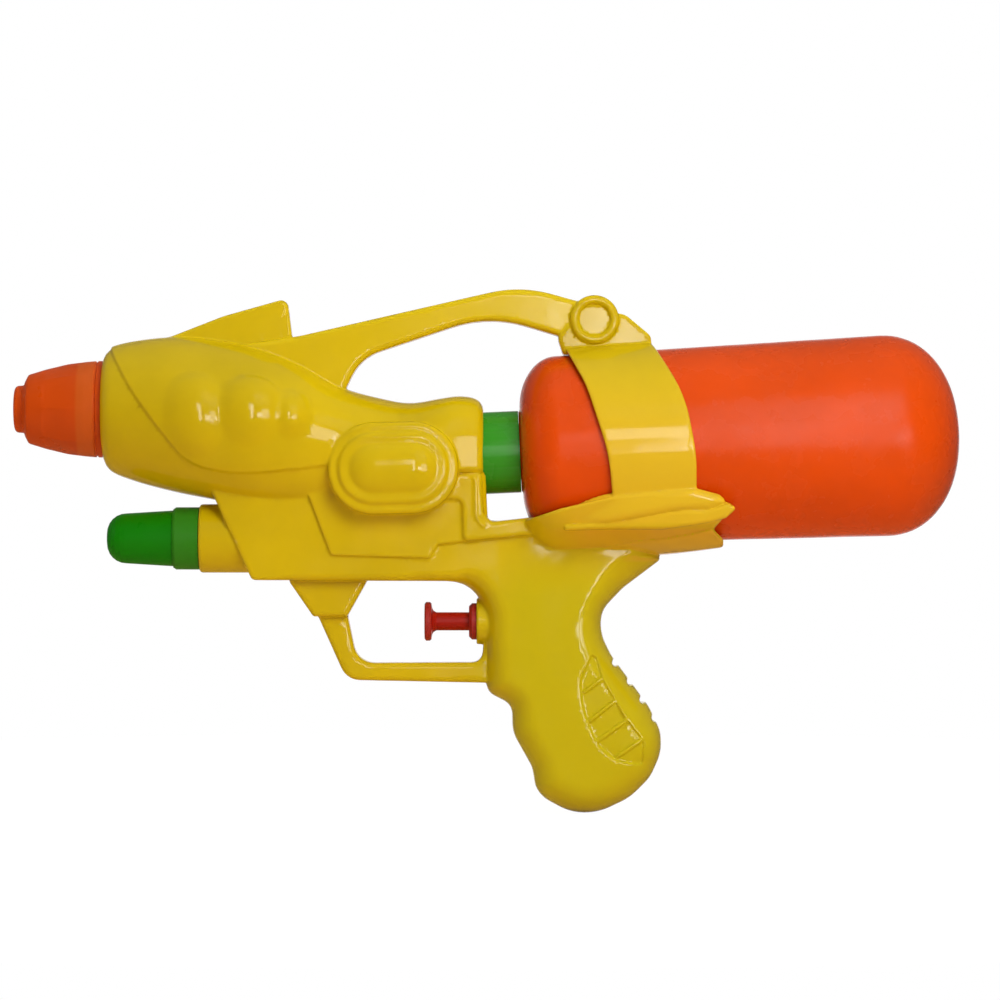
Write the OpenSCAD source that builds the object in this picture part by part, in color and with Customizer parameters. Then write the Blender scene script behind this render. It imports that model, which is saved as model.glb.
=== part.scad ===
// Toy water squirter: two moulded shells, a trigger pump, two hoses and a tank that screws on.
// X runs along the barrel with the muzzle toward -X, Z is up, and the shells meet at Y = 0.
// The lowest point of the grip is at Z = 0 and the middle of the whole length is at X = 0.

/* [Tank] */
// Tank radius behind the front shoulder
tank_front_r = 31.9; // [30:0.1:33]
// Tank radius before the rear dome
tank_rear_r = 34.1; // [33:0.1:35]
// Tank length from the shoulder face to the rear end
tank_len = 148.7; // [120:0.1:170]
// Wall of the tank
tank_wall = 1.4; // [1:0.1:2.4]
// Height of the tank axis at the shoulder face
tank_z = 122.7; // [122:0.1:124]
// Rise of the tank axis toward the rear, in degrees
tank_tilt = 2.5; // [1.5:0.1:3]
// Length of the neck before the shoulder face
neck_len = 14; // [13.5:0.5:15]
// Radius of the neck between its threads
neck_r = 9.5; // [9:0.1:9.8]
// Wall of the neck
neck_wall = 1.8; // [1.4:0.1:2.4]
// Pitch of the neck thread
thread_pitch = 4; // [3.6:0.1:4.2]
// Height of the thread ridges
thread_h = 1.1; // [0.8:0.1:1.2]
// Space between the crest of a ridge and the wall that faces it
thread_gap = 0.5; // [0.4:0.1:0.6]

/* [Collar] */
// Outside radius of the tank collar
collar_r = 13.9; // [13.5:0.1:14.2]
// Thickness of the collar's end wall
collar_end = 2; // [1.5:0.1:3]
// Thickness of the sealing ring
gasket_t = 1.4; // [1:0.1:2]

/* [Shells] */
// Wall of the two shells
wall = 2.2; // [1.8:0.1:2.6]
// Half width of the lower body and the grip
body_hw = 13; // [12.5:0.1:14]
// Edge radius of the lower body and the grip
body_edge = 3; // [1:0.5:5]
// Half width of the carry handle
handle_hw = 6.5; // [6:0.1:8]
// Half width of the sight fin
fin_hw = 3; // [2:0.5:5]
// Half width of the trigger guard strip
guard_hw = 5; // [4:0.5:8]
// Half width of the lug above the tank
lug_hw = 6.5; // [6:0.1:8]
// Depth of the cells between the grip's ribs
rib_depth = 0.7; // [0.5:0.1:1]
// Radius of the raised ring on the lug
ring_r = 8.3; // [7:0.1:9]
// Half width of the oval cover's rim
oval_hw = 21.4; // [19.5:0.1:22]
// Thickness of the strap over the tank
strap_t = 2.4; // [2:0.1:3]
// Thickness of the cradle under the tank
cradle_t = 3.6; // [3:0.1:4.5]
// Thickness of the cradle's lip
lip_t = 5; // [4:0.1:6]
// Clearance between the tank and the shells
tank_gap = 0.45; // [0.4:0.05:0.6]

/* [Nozzle and lower tube] */
// Height of the nozzle axis
nozzle_z = 137.1; // [136:0.1:139]
// Radius of the nozzle's front lip
lip_r = 8; // [7:0.1:9]
// Radius of the nozzle at the barrel
nozzle_r = 16.4; // [16:0.1:17]
// Visible length of the nozzle
nozzle_len = 30.2; // [28:0.1:33]
// Wall of the nozzle
nozzle_wall = 2; // [1.5:0.1:2.4]
// Radius of the jet hole
jet_r = 0.75; // [0.5:0.05:1]
// Height of the lower tube's axis
tube_z = 93.2; // [92:0.1:94]
// Radius of the lower tube
tube_r = 11.7; // [11.5:0.1:12.3]
// Radius of the plug's rear band
plug_r = 10.6; // [10:0.1:11]
// Length of the plug before the tube
plug_len = 31.5; // [28:0.5:36]

/* [Trigger and pump] */
// Height of the pump axis
pump_z = 65; // [64:0.1:66]
// Travel of the trigger
travel = 10.5; // [8:0.5:11]
// Radius of the trigger's head
head_r = 6.6; // [6:0.1:7]
// Radius of the trigger's rod
rod_r = 3.1; // [2.9:0.1:3.3]
// Radius of the pump bore
bore_r = 4.6; // [4.4:0.1:4.8]
// Outside radius of the pump cylinder
pump_r = 7; // [6.8:0.1:7.2]
// Outside radius of the gland
gland_r = 6.2; // [6:0.1:6.5]
// Radius of the two valve balls
ball_r = 1.9; // [1.8:0.05:2]
// Lift of the two valve balls
ball_lift = 0.7; // [0.5:0.1:0.8]
// Radius of the spring wire
wire_r = 0.35; // [0.3:0.05:0.4]
// Number of spring turns
spring_turns = 6; // [5:1:7]

/* [Hoses] */
// Outside radius of the hoses
hose_r = 2.2; // [2:0.1:2.3]
// Inside radius of the hoses
hose_bore = 1.4; // [1.2:0.05:1.5]
// Outside radius of the dip tube
dip_r = 2; // [1.8:0.1:2.2]

/* [Screws] */
// Radius of the screw shank
screw_r = 1.3; // [1.1:0.1:1.4]
// Radius of the screw head
screw_head_r = 2.6; // [2.3:0.1:2.8]
// Height of the screw head
screw_head_h = 1.8; // [1.5:0.1:2]
// Length of the screw under its head
screw_len = 8; // [7:0.5:8.5]
// Depth of the screw head's seat from the seam
screw_seat = 3; // [2.5:0.1:3.5]

/* [Fits] */
// Radial clearance of a piece that slides
fit = 0.05; // [0.03:0.01:0.1]
// Clearance of a piece that is seated
seat = 0.1; // [0.05:0.01:0.2]

/* [Hidden] */

yellow = [0.85, 0.71, 0.10];
orange = [0.87, 0.30, 0.06];
green = [0.18, 0.52, 0.12];
red = [0.65, 0.12, 0.07];
natural = [0.90, 0.90, 0.86];
rubber = [0.15, 0.15, 0.15];
clear = [0.80, 0.86, 0.88];
steel = [0.70, 0.71, 0.73];

eps = 0.01;
corner_steps = 3;
edge_steps = 2;

// Places along the barrel
muzzle_x = -160.4;
barrel_x = muzzle_x + nozzle_len;
rear_x = -1.2;
tube_x = -97.6;
tube_len = 30;
plug_x = tube_x - plug_len;
tank_x = 11.7;

// Half width that takes in all that goes round the tank
past_tank = tank_rear_r + 3 * lip_t;

// The nozzle goes through the barrel's rim, and its flange sits behind that rim
rim_r = nozzle_r + 1.4;
rim_depth = 4;
nozzle_flange_r = nozzle_r + 1.6;
nozzle_flange_t = 1.7;
nozzle_back = nozzle_len + rim_depth + nozzle_flange_t;

// Jet spout lengths, measured from the muzzle
jet_disc_t = 1.6;
jet_back = nozzle_back - 2.4;
jet_disc = jet_back - jet_disc_t;

// Lengths along the tank axis, measured from the shoulder face toward the rear
tank_dome = 25.5;
dome_power = 0.92;
shoulder = 13;
shoulder_r = 14.4;
gasket_back = -neck_len;
gasket_front = gasket_back - gasket_t;
collar_front = gasket_front - collar_end;
collar_back = -0.6;
collar_bore = neck_r + thread_h + thread_gap;
collar_flange_r = collar_r + 1.2;
collar_flange_t = 1.6;
thread_turns = 1.25;
thread_start = gasket_back + 1.4;

// Pump places along X
gland_x = -6.1;
mouth_x = gland_x + 2.7;
chamber_x = mouth_x + 4.8;
chamber_len = 21;
pump_end = 3.5;
port_x = chamber_x + chamber_len - 2.9;
gland_plug_r = bore_r + 0.8;
head_flare = 4;
head_x = gland_x - travel - head_flare - 0.6;
piston_x = chamber_x + seat;
piston_len = 5;
piston_r = bore_r - 0.1;
groove_at = 1.6;
groove_t = 1.5;
groove_r = bore_r - 1.3;
seal_r = 4.4;
seal_t = 1.6;
spigot_r = 2.5;
spring_r = 3.3;

// Valve places above and below the pump axis
column_r = 4.2;
column_h = 13;
valve_r = ball_r + 0.6;
valve_seat_r = 1.2;
seat_drop = sqrt(ball_r * ball_r - valve_seat_r * valve_seat_r);
outlet_seat = bore_r + 2.8;
outlet_stop = outlet_seat + seat_drop + ball_r + ball_lift + seat;
inlet_stop = bore_r + 1.8;
inlet_seat = inlet_stop + seat_drop + ball_r + ball_lift + seat;
elbow_z = column_h + 1.7;
elbow_top = column_h + 3.4;
stub_r = hose_bore - fit;
stub_bore = 0.8;
stub_len = 6;
stub_x = port_x - column_r - stub_len;
cap_t = 1.6;
hose_over = elbow_top + hose_r + 0.8;

// Screw places, [X, Z]
lug_at = [36.4, tank_z + (36.4 - tank_x) * tan(tank_tilt) + tank_front_r + tank_gap + strap_t + 8.8];
screw_places = [
    [-116, 151], [-60, 128], [-69.5, 86], [-57, 156.5], [-17.5, 134], [46, 83.5], [38.5, 13], lug_at
];
boss_r = 4.4;
well_r = screw_head_r + 0.3;

// Outlines in X and Z, anticlockwise, each corner with its radius
body_outline = [
    [-93.8, 111, 1], [-79.3, 79.2, 2], [-1.4, 78.7, 12.2], [-0.2, 41.1, 5], [8.4, 36.7, 5],
    [8.6, 27.4, 12], [15.3, 15.4, 8], [16.4, 8.6, 8], [19.2, 5, 12], [28.4, 0, 20], [37.8, 0, 20],
    [48.6, 5.1, 20], [55.5, 12, 15], [59.2, 20.2, 15], [59.2, 27.4, 12], [55, 36.3, 20],
    [42.3, 53.5, 20], [38.8, 60.7, 15], [38.8, 68.5, 10], [46.2, 76.3, 20], [59.3, 86.2, 1.5],
    [52, 96, 1], [0.3, 99.4, 1], [-1, 127, 1], [-63.6, 127, 1]
];
guard_outline = [
    [-58.8, 70.2, 1], [-47.6, 45.2, 7], [1, 44.2, 1], [1, 58, 1], [-1.2, 58, 1], [-1.8, 51.2, 5],
    [-43.9, 51, 7], [-47.9, 70.2, 1]
];
guard_block = [[-67.7, 79.7, 1], [-58.8, 66.8, 1], [-47.3, 66.8, 1], [-40.1, 79.7, 1]];
handle_outline = [
    [-86.7, 154, 1], [-50.4, 138.6, 1], [-42.8, 154.4, 16], [0.6, 168.9, 56],
    [lug_at[0] - 9.9, lug_at[1] - 6.2, 1], [lug_at[0] - 3, lug_at[1] + 5.6, 1], [11.6, 179.2, 60],
    [-63.6, 161.9, 30], [-86.7, 158.4, 1]
];
fin_outline = [
    [-108.5, 156, 1], [-65.6, 157, 1], [-67.8, 174.8, 2.5], [-89.5, 168.7, 40], [-108.5, 161.3, 1]
];
lug_outline = [
    [lug_at[0] - 10.6, lug_at[1] - 12, 1], [lug_at[0] + 19.4, lug_at[1] - 10.6, 1],
    [lug_at[0] + 19.2, lug_at[1] - 5.5, 3], [lug_at[0] + 9.5, lug_at[1] + 2.6, 6],
    [lug_at[0] - 8.9, lug_at[1] - 1, 4], [lug_at[0] - 12.6, lug_at[1] - 5.9, 3]
];
strap_outline = [
    [22, 166, 1], [33.3, 144.3, 40], [40.5, 121.6, 60], [42.2, 104.6, 1], [70, 104.6, 1],
    [69.7, 121.6, 60], [66, 141.3, 50], [52, 166, 1]
];
cradle_outline = [
    [11.2, 84, 1], [59.8, 87.2, 1], [79.8, 90.2, 1], [79.5, 92.9, 1], [76, 96.4, 1], [82.6, 104.6, 1],
    [69.4, 109.4, 6], [41.5, 107.3, 6], [24.8, 103.5, 3], [11.9, 99.1, 1]
];
lip_outline = [
    [18.4, 94.7, 1], [49, 96.9, 10], [67, 98.3, 10], [76.8, 96.2, 1], [85.7, 103.7, 1.5],
    [76.5, 109.5, 8], [41.5, 107.6, 15], [30.6, 105.6, 8], [16.7, 100.1, 4]
];
arm_outline = [
    [-18, 115.4, 1], [-18, 106.4, 1], [-8.6, 106.3, 2.2], [-8.3, 92.3, 2], [24.5, 95.4, 1],
    [24.5, 103, 1], [16.7, 100.6, 4], [-0.4, 98.9, 2], [-3.6, 101.6, 3], [-4.2, 115.4, 1]
];
panel_outline = [
    [-62, 111, 1], [-53, 87.4, 1.5], [-19.4, 86.4, 1], [-17, 91.1, 1], [-7.5, 92.3, 1], [-6, 116, 1]
];
rib_outline = [
    [35, 53, 1], [30, 41.7, 18], [37, 20, 15], [52.5, 15.5, 1], [55.5, 24, 3], [41, 48.5, 3]
];
rib_ends = [
    [[33.5, 41], [40, 46]], [[35, 31.5], [45, 39]], [[38, 24.5], [49, 32.5]], [[44.5, 19], [53, 25]]
];
oval_at = [-31.5, 117];

// Barrel sections from front to rear: X, top, bottom, half width
barrel_rows = [
    [barrel_x, nozzle_z + rim_r, nozzle_z - rim_r, rim_r],
    [-127.2, 158.3, 115.6, 21.2], [-118.8, 160.5, 112.3, 24], [-106, 161.7, 108.9, 26.2],
    [-92.8, 160.7, 106.3, 27], [-78.2, 158, 103.5, 27], [-63.6, 152.3, 102.2, 24.5],
    [-50.5, 145, 103, 21], [-35.4, 140.7, 104.6, 18.8], [-25.8, 139.3, 105.2, 17.8],
    [-10, 141.6, 105.2, 18.2], [-4.8, 140.5, 105.8, 17.6], [rear_x, 137.5, 108, 15.8]
];

// Each bump on the barrel: X, Z, radius along X, radius along Z, height of its top
bump_rows = [
    [-98.3, 137.1, 9.7, 12.2, 29], [-80.7, 137.2, 11, 11, 29.4], [-66.4, 134.9, 7.6, 8.6, 26.8]
];

// Hose routes
suction_route = [
    [port_x, 0, pump_z - column_h - cap_t - seat], [port_x, 0, pump_z - 19], [port_x + 0.6, 0, pump_z - 24],
    [port_x + 5.6, 0, pump_z - 28], [port_x + 10.8, 0, pump_z - 24.5], [port_x + 12, 0, pump_z - 15],
    [port_x + 12, 0, pump_z], [port_x + 10.6, 0.6, pump_z + hose_over - 8.9],
    [port_x + 6, 2, pump_z + hose_over - 0.9], [port_x - 2, 4, pump_z + hose_over],
    [2, 4.5, 87], [-12, 4.5, 92], [-24, 4, 98], [-33, 3, 106.5],
    [-35, 1.2, 115.5], [-28.5, 0, axis_z(-28.5) - 0.6], [-17, 0, axis_z(-17)],
    [tank_x + collar_front - 2 * seat, 0, axis_z(tank_x + collar_front)]
];
delivery_route = [
    [port_x - column_r - seat, 0, pump_z + elbow_z], [stub_x - 1, 0, pump_z + elbow_z],
    [stub_x - 4, 0, pump_z + elbow_z], [0, -1.4, 80.5], [-5, -3, 82.2], [-14, -4.5, 85.2],
    [-28, -4.5, 88.5], [-45, -4.2, 91.5], [-58, -3, 97],
    [-68, -2, 106.5], [-77, -1, 117.5], [-88, 0, 128.5], [-100, 0, 135.3],
    [muzzle_x + jet_back + 2.4 * stub_len, 0, nozzle_z],
    [muzzle_x + jet_back + 1.1 * stub_len, 0, nozzle_z], [muzzle_x + jet_back + seat, 0, nozzle_z]
];
dip_route = [
    [0, 0, collar_front + collar_end + 0.5], [0, 0, -4], [0, 0, 10], [4, 0, 38], [13, 0, 68],
    [22, 0, 94], [27, 0, 114]
];

function axis_z(x) = tank_z + (x - tank_x) * tan(tank_tilt);
function flat(p) = [p[0], p[1]];
function unit(v) = v / norm(v);
function before(v, i) = v[(i + len(v) - 1) % len(v)];
function after(v, i) = v[(i + 1) % len(v)];
function inward(a, b) = let (d = unit(flat(b) - flat(a))) [-d[1], d[0]];

// An outline moved inward by d, with its corner radii
function inset(v, d) = [
    for (i = [0 : len(v) - 1])
        let (
            a = before(v, i), b = v[i], c = after(v, i), n = inward(a, b), m = inward(b, c),
            p = flat(b) + (n + m) * d / (1 + n * m),
            outer = cross(flat(b) - flat(a), flat(c) - flat(b)) > 0
        )
        [p[0], p[1], outer ? max(b[2] - d, 0.05) : max(b[2] + d, 0.05)]
];

// The arc that replaces corner b between its neighbours a and c
function corner(a, b, c) =
    let (
        u = unit(flat(a) - flat(b)), w = unit(flat(c) - flat(b)), half = acos(u * w) / 2,
        room = 0.48 * min(norm(flat(a) - flat(b)), norm(flat(c) - flat(b))),
        t = min(b[2] / tan(half), room), r = t * tan(half),
        o = flat(b) + unit(u + w) * r / sin(half),
        p = flat(b) + u * t - o, q = flat(b) + w * t - o,
        first = atan2(p[1], p[0]), sweep = (atan2(q[1], q[0]) - first + 900) % 360 - 180
    )
    [
        for (k = [0 : corner_steps])
            let (a = first + sweep * k / corner_steps) o + r * [cos(a), sin(a)]
    ];
function rounded(v) = [for (i = [0 : len(v) - 1]) each corner(before(v, i), v[i], after(v, i))];
function lay(v, y) = [for (p = rounded(v)) [p[0], y, p[1]]];

// A smooth curve through rows of numbers
function curve_at(rows, i, t) =
    let (
        n = len(rows) - 1,
        a = rows[max(i - 1, 0)], b = rows[i], c = rows[min(i + 1, n)], d = rows[min(i + 2, n)]
    )
    b + 0.5 * t * (c - a + t * (2 * a - 5 * b + 4 * c - d + t * (3 * (b - c) + d - a)));
function smooth(rows, steps) = concat(
    [for (i = [0 : len(rows) - 2], k = [0 : steps - 1]) curve_at(rows, i, k / steps)],
    [rows[len(rows) - 1]]
);

// A solid through rings of points, closed at both ends
module skin(rings) {
    n = len(rings[0]);
    m = len(rings);
    sides = [
        for (j = [0 : m - 2], i = [0 : n - 1])
            let (a = j * n + i, b = j * n + (i + 1) % n)
            each [[a, b, b + n], [a, b + n, a + n]]
    ];
    first = [for (i = [n - 1 : -1 : 0]) i];
    last = [for (i = [0 : n - 1]) (m - 1) * n + i];
    polyhedron([for (r = rings) each r], concat([first], sides, [last]), convexity = 8);
}

// Half of a plate with a rounded edge, from the seam out to half width hw
module half_plate(v, hw, edge, from = 0) {
    skin(concat([
        for (k = [edge_steps : -1 : 0])
            let (a = 90 * k / edge_steps) lay(inset(v, edge * (1 - cos(a))), -(hw - edge + edge * sin(a)))
    ], [lay(v, from)]));
}

// Half of the barrel, thinner by d all round
module half_barrel(d, from) {
    inner = function(x) x > barrel_x + rim_depth && x < rear_x - d;
    rows = [for (r = smooth(barrel_rows, 2)) if (d == 0 || inner(r[0])) r];
    n = 14;
    skin([
        for (r = rows)
            let (mid = (r[1] + r[2]) / 2, rise = (r[1] - r[2]) / 2 - d, w = r[3] - d)
            concat(
                [[r[0], from, mid + rise], [r[0], from, mid - rise]],
                [for (k = [n : -1 : 0]) [r[0], -w * sin(180 * k / n) - eps, mid + rise * cos(180 * k / n)]]
            )
    ]);
}

// A hose along a route, open or solid, kept upright against a reference direction
module hose(route, ro, ri, steps, sides, ref = [0, 1, 0]) {
    path = smooth(route, steps);
    n = len(path);
    ring = function(i, r)
        let (
            t = unit(path[min(i + 1, n - 1)] - path[max(i - 1, 0)]), u = unit(cross(t, ref)), w = cross(u, t)
        )
        [for (k = [0 : sides - 1]) path[i] + r * (u * cos(360 * k / sides) + w * sin(360 * k / sides))];
    if (ri == 0) {
        skin([for (i = [0 : n - 1]) ring(i, ro)]);
    } else {
        bore = ri / cos(180 / sides);
        rings = concat([for (i = [0 : n - 1]) ring(i, ro)], [for (i = [n - 1 : -1 : 0]) ring(i, bore)]);
        m = len(rings);
        faces = [
            for (j = [0 : m - 1], i = [0 : sides - 1])
                let (a = j * sides, b = (j + 1) % m * sides, e = (i + 1) % sides)
                each [[a + i, a + e, b + e], [a + i, b + e, b + i]]
        ];
        polyhedron([for (r = rings) each r], faces, convexity = 8);
    }
}

// A helical ridge on radius r that stands out by h, inward where h is below zero
module ridge(r, h, z0, turns) {
    steps = round(turns * 18);
    root = r - 0.3 * sign(h);
    skin([
        for (k = [0 : steps])
            let (
                a = 360 * turns * k / steps, z = z0 + thread_pitch * turns * k / steps,
                tip = r + h * min(1, 0.12 + k / 3, 0.12 + (steps - k) / 3),
                loop = [[root, -0.8], [root, 0.8], [tip, 0.4], [tip, -0.4]]
            )
            [
                for (p = h < 0 ? loop : [loop[3], loop[2], loop[1], loop[0]])
                    [p[0] * cos(a), p[0] * sin(a), z + p[1]]
            ]
    ]);
}

module along_x(x, z) {
    translate([x, 0, z]) rotate([0, 90, 0]) children();
}

module on_tank_axis() {
    translate([tank_x, 0, tank_z]) rotate([0, 90 - tank_tilt, 0]) children();
}

// A turned ring between two radii
module ring(ro, ri, z0, z1) {
    rotate_extrude($fn = 64) translate([ri, z0]) square([ro - ri, z1 - z0]);
}

// Outside of the tank body, larger by d: [radius, length along the axis]
function tank_profile(d, steps) = concat(
    [for (k = [0 : steps]) [shoulder_r + (tank_front_r - shoulder_r) * sin(90 * k / steps) + d,
        shoulder * (1 - cos(90 * k / steps)) - d]],
    [for (k = [0 : steps]) [(tank_rear_r + d) * pow(cos(90 * k / steps), dome_power),
        tank_len - tank_dome + (tank_dome + d) * pow(sin(90 * k / steps), dome_power)]]
);

module tank_body(d, steps) {
    rotate_extrude($fn = 60) polygon(concat([[0, -d]], tank_profile(d, steps)));
}

// The oval cover's outline as a solid, inset by d, out to half width hw
module oval(d, hw) {
    translate([oval_at[0], 0, oval_at[1]]) rotate([90, 1.3, 0]) hull() {
        for (s = [-1, 1]) translate([6.6 * s, 0, 0]) cylinder(h = hw, r = 15.6 - d, $fn = 28);
    }
}

// The outside of the left half before it is hollowed
module half_outside() {
    half_barrel(0, 0);
    half_plate(body_outline, body_hw, body_edge);
    half_plate(handle_outline, handle_hw, 2);
    half_plate(panel_outline, body_hw + 1.2, 0.6);
    half_plate(arm_outline, body_hw + 2.5, 1);
    oval(0, oval_hw);
    oval(3.2, oval_hw + 1.5);
    oval(7.2, oval_hw + 3.2);
    intersection() {
        along_x(tube_x, tube_z) cylinder(h = tube_len, r = tube_r, $fn = 36);
        translate([tube_x - 1, -2 * tube_r, tube_z - 2 * tube_r])
            cube([tube_len + 2, 2 * tube_r, 4 * tube_r]);
    }
    for (b = bump_rows) intersection() {
        translate([b[0], -b[4] + 6, b[1]]) scale([b[2] / 6, 1, b[3] / 6]) sphere(r = 6, $fn = 18);
        translate([b[0] - 20, -40, b[1] - 20]) cube([40, 40, 40]);
    }
}

// The hollow of the left half
module half_inside() {
    half_barrel(wall, 1);
    half_plate(inset(body_outline, wall), body_hw - wall, max(body_edge - wall, 0.5), 1);
    half_plate(inset(handle_outline, wall), handle_hw - wall, 0.6, 1);
    translate([0, 1, 0]) oval(wall + 2, oval_hw + 1 - wall);
    along_x(tube_x + 13, tube_z) cylinder(h = tube_len, r = tube_r - wall - 1, $fn = 32);
}

// Forms that are solid, and the walls that hold the tank
module half_solids() {
    half_plate(guard_outline, guard_hw, 1.5);
    half_plate(guard_block, guard_hw + 3, 1.5);
    half_plate(fin_outline, fin_hw, 1);
    half_plate(lug_outline, lug_hw, 1.2);
    translate([lug_at[0], 0, lug_at[1]]) rotate([90, 0, 0]) difference() {
        cylinder(h = lug_hw + 1.6, r = ring_r, $fn = 28);
        translate([0, 0, lug_hw + 0.4]) cylinder(h = 3, r = ring_r - 3.1, $fn = 20);
    }
    intersection() {
        on_tank_axis() tank_body(tank_gap + strap_t, 8);
        half_plate(strap_outline, past_tank, 1);
    }
    intersection() {
        on_tank_axis() tank_body(tank_gap + cradle_t, 8);
        half_plate(cradle_outline, past_tank, 1);
    }
    intersection() {
        on_tank_axis() tank_body(tank_gap + lip_t, 8);
        half_plate(lip_outline, past_tank, 1);
    }
    intersection() {
        along_x(mouth_x - 0.2, pump_z) cylinder(h = 6, r = pump_r + 1.2, $fn = 32);
        translate([mouth_x - 1, -20, pump_z - 20]) cube([20, 20, 40]);
    }
    for (x = [5, 12])
        translate([x, -(body_hw - 1), pump_z - pump_r - 2]) cube([2, body_hw - 1, 2 * pump_r + 4]);
}

// The ribbed panel on the side of the grip
module rib_recess() {
    difference() {
        half_plate(rib_outline, body_hw + 5, 0.5, rib_depth - body_hw);
        for (e = rib_ends) hull() {
            for (p = e) translate([p[0], -(body_hw + 6), p[1]]) rotate([-90, 0, 0])
                cylinder(h = 8, r = 0.7, $fn = 8);
        }
    }
}

// One half of the body on the -Y side, with wells for the screw heads where it is the right half
module half_shell(wells) {
    difference() {
        union() {
            difference() {
                half_outside();
                half_inside();
            }
            half_solids();
            intersection() {
                half_outside();
                for (p = screw_places) translate([p[0], 0, p[1]]) rotate([90, 0, 0])
                    cylinder(h = 40, r = boss_r, $fn = 16);
            }
        }
        rib_recess();
        on_tank_axis() tank_body(tank_gap, 8);
        on_tank_axis() translate([0, 0, collar_front])
            cylinder(h = -collar_front, r = collar_r + seat, $fn = 48);
        on_tank_axis() translate([0, 0, collar_front - 2])
            cylinder(h = 2 + collar_flange_t + seat, r = collar_flange_r + seat, $fn = 40);
        along_x(barrel_x - 1, nozzle_z) cylinder(h = rim_depth + 10, r = nozzle_r + seat, $fn = 48);
        along_x(barrel_x + rim_depth - seat, nozzle_z) cylinder(h = 8, r = nozzle_flange_r + seat, $fn = 40);
        along_x(tube_x - 1, tube_z) cylinder(h = 15, r = tube_r - wall - 1 + seat, $fn = 36);
        along_x(mouth_x - 1, pump_z) cylinder(h = 40, r = pump_r + seat, $fn = 36);
        for (p = screw_places) translate([p[0], 0, p[1]]) rotate([90, 0, 0]) {
            if (wells) {
                translate([0, 0, -1]) cylinder(h = screw_seat + 2, r = screw_r + seat, $fn = 14);
                translate([0, 0, screw_seat]) cylinder(h = 40, r = well_r, $fn = 16);
            } else {
                translate([0, 0, -1])
                    cylinder(h = screw_len - screw_seat + 1.4, r = screw_r + seat, $fn = 14);
            }
        }
    }
}

module left_shell() {
    color(yellow) half_shell(false);
}

module right_shell() {
    color(yellow) mirror([0, 1, 0]) half_shell(true);
}

module shell_screws() {
    color(steel) for (p = screw_places) translate([p[0], screw_seat, p[1]]) rotate([90, 0, 0]) difference() {
        union() {
            translate([0, 0, -screw_head_h]) cylinder(h = screw_head_h, r = screw_head_r, $fn = 32);
            cylinder(h = screw_len - 1, r = screw_r, $fn = 24);
            translate([0, 0, screw_len - 1]) cylinder(h = 1, r1 = screw_r, r2 = 0.4, $fn = 24);
        }
        for (a = [0, 90]) rotate([0, 0, a]) translate([-1.5, -0.3, -screw_head_h - 1]) cube([3, 0.6, 2]);
    }
}

module nozzle() {
    face = 4.7;
    band = 22.1;
    back = nozzle_back;
    front_r = nozzle_r - 4.8;
    band_r = nozzle_r - 0.4;
    slope = atan((band_r - front_r) / (band - face));
    color(orange) along_x(muzzle_x, nozzle_z) difference() {
        rotate_extrude($fn = 96) polygon([
            [3 + seat, 0], [lip_r - 0.7, 0], [lip_r, 0.7], [lip_r, 3.4], [front_r - 1, 3.6], [front_r, face],
            [band_r, band], [nozzle_r, nozzle_len - 1],
            [nozzle_r, back - nozzle_flange_t], [nozzle_flange_r, back - nozzle_flange_t],
            [nozzle_flange_r, back], [nozzle_r - nozzle_wall, back], [nozzle_r - nozzle_wall, band],
            [front_r - nozzle_wall, face + 1.4], [lip_r - nozzle_wall, 2.5],
            [3 + seat, 2.5]
        ]);
        for (k = [0 : 7]) rotate([0, 0, 45 * k + 22.5]) translate([front_r, 0, face]) rotate([0, slope, 0])
            translate([-0.6, -8, 5]) cube([4, 16, 12.6]);
    }
}

module jet_spout() {
    disc_r = nozzle_r - nozzle_wall - seat;
    color(natural) along_x(muzzle_x, nozzle_z) rotate_extrude($fn = 64) polygon([
        [jet_r, 0.5], [2.6, 0.5], [3, 0.9], [3, jet_disc - 3], [4.5, jet_disc], [disc_r, jet_disc],
        [disc_r, jet_back], [stub_r, jet_back], [stub_r, jet_back + stub_len],
        [stub_bore, jet_back + stub_len], [stub_bore, jet_disc], [1.6, jet_disc - 2], [1.6, 5], [jet_r, 3]
    ]);
}

module muzzle_plug() {
    nose = 6.5;
    stub = tube_r - wall - 1;
    color(green) along_x(plug_x, tube_z) rotate_extrude($fn = 72) polygon(concat(
        [[0, 0]], [for (k = [0 : 6]) [2 + nose * sin(15 * k), nose * (1 - cos(15 * k))]],
        [
            [plug_r - 1.1, plug_len - 9], [plug_r - 0.6, plug_len - 8.9], [plug_r, plug_len - 8],
            [plug_r, plug_len - seat], [stub, plug_len - seat], [stub, plug_len + 11],
            [stub - 2, plug_len + 11], [stub - 2, 7], [0, 3]
        ]
    ));
}

module tank_collar() {
    color(green) on_tank_axis() {
        ring(collar_r, collar_bore, gasket_front - eps, collar_back);
        ring(collar_flange_r, stub_r, collar_front, collar_front + collar_flange_t);
        ring(collar_r, stub_bore, collar_front, gasket_front);
        ring(stub_r, stub_bore, collar_front - stub_len, collar_front + eps);
        ring(dip_r + 1.2, dip_r + fit, gasket_front - eps, gasket_front + 6);
        ridge(collar_bore, -thread_h, thread_start + 1.5 * thread_pitch, thread_turns);
    }
}

module neck_gasket() {
    color(rubber) on_tank_axis() ring(neck_r, neck_r - neck_wall, gasket_front, gasket_back);
}

module tank() {
    inner = tank_profile(-tank_wall, 10);
    color(orange) on_tank_axis() {
        rotate_extrude($fn = 96) polygon(concat(
            [[neck_r - neck_wall, gasket_back], [neck_r, gasket_back], [neck_r, 0]], tank_profile(0, 10),
            [for (k = [len(inner) - 1 : -1 : 0]) inner[k]], [[neck_r - neck_wall, tank_wall]]
        ));
        ridge(neck_r, thread_h, thread_start, thread_turns);
    }
}

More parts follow.
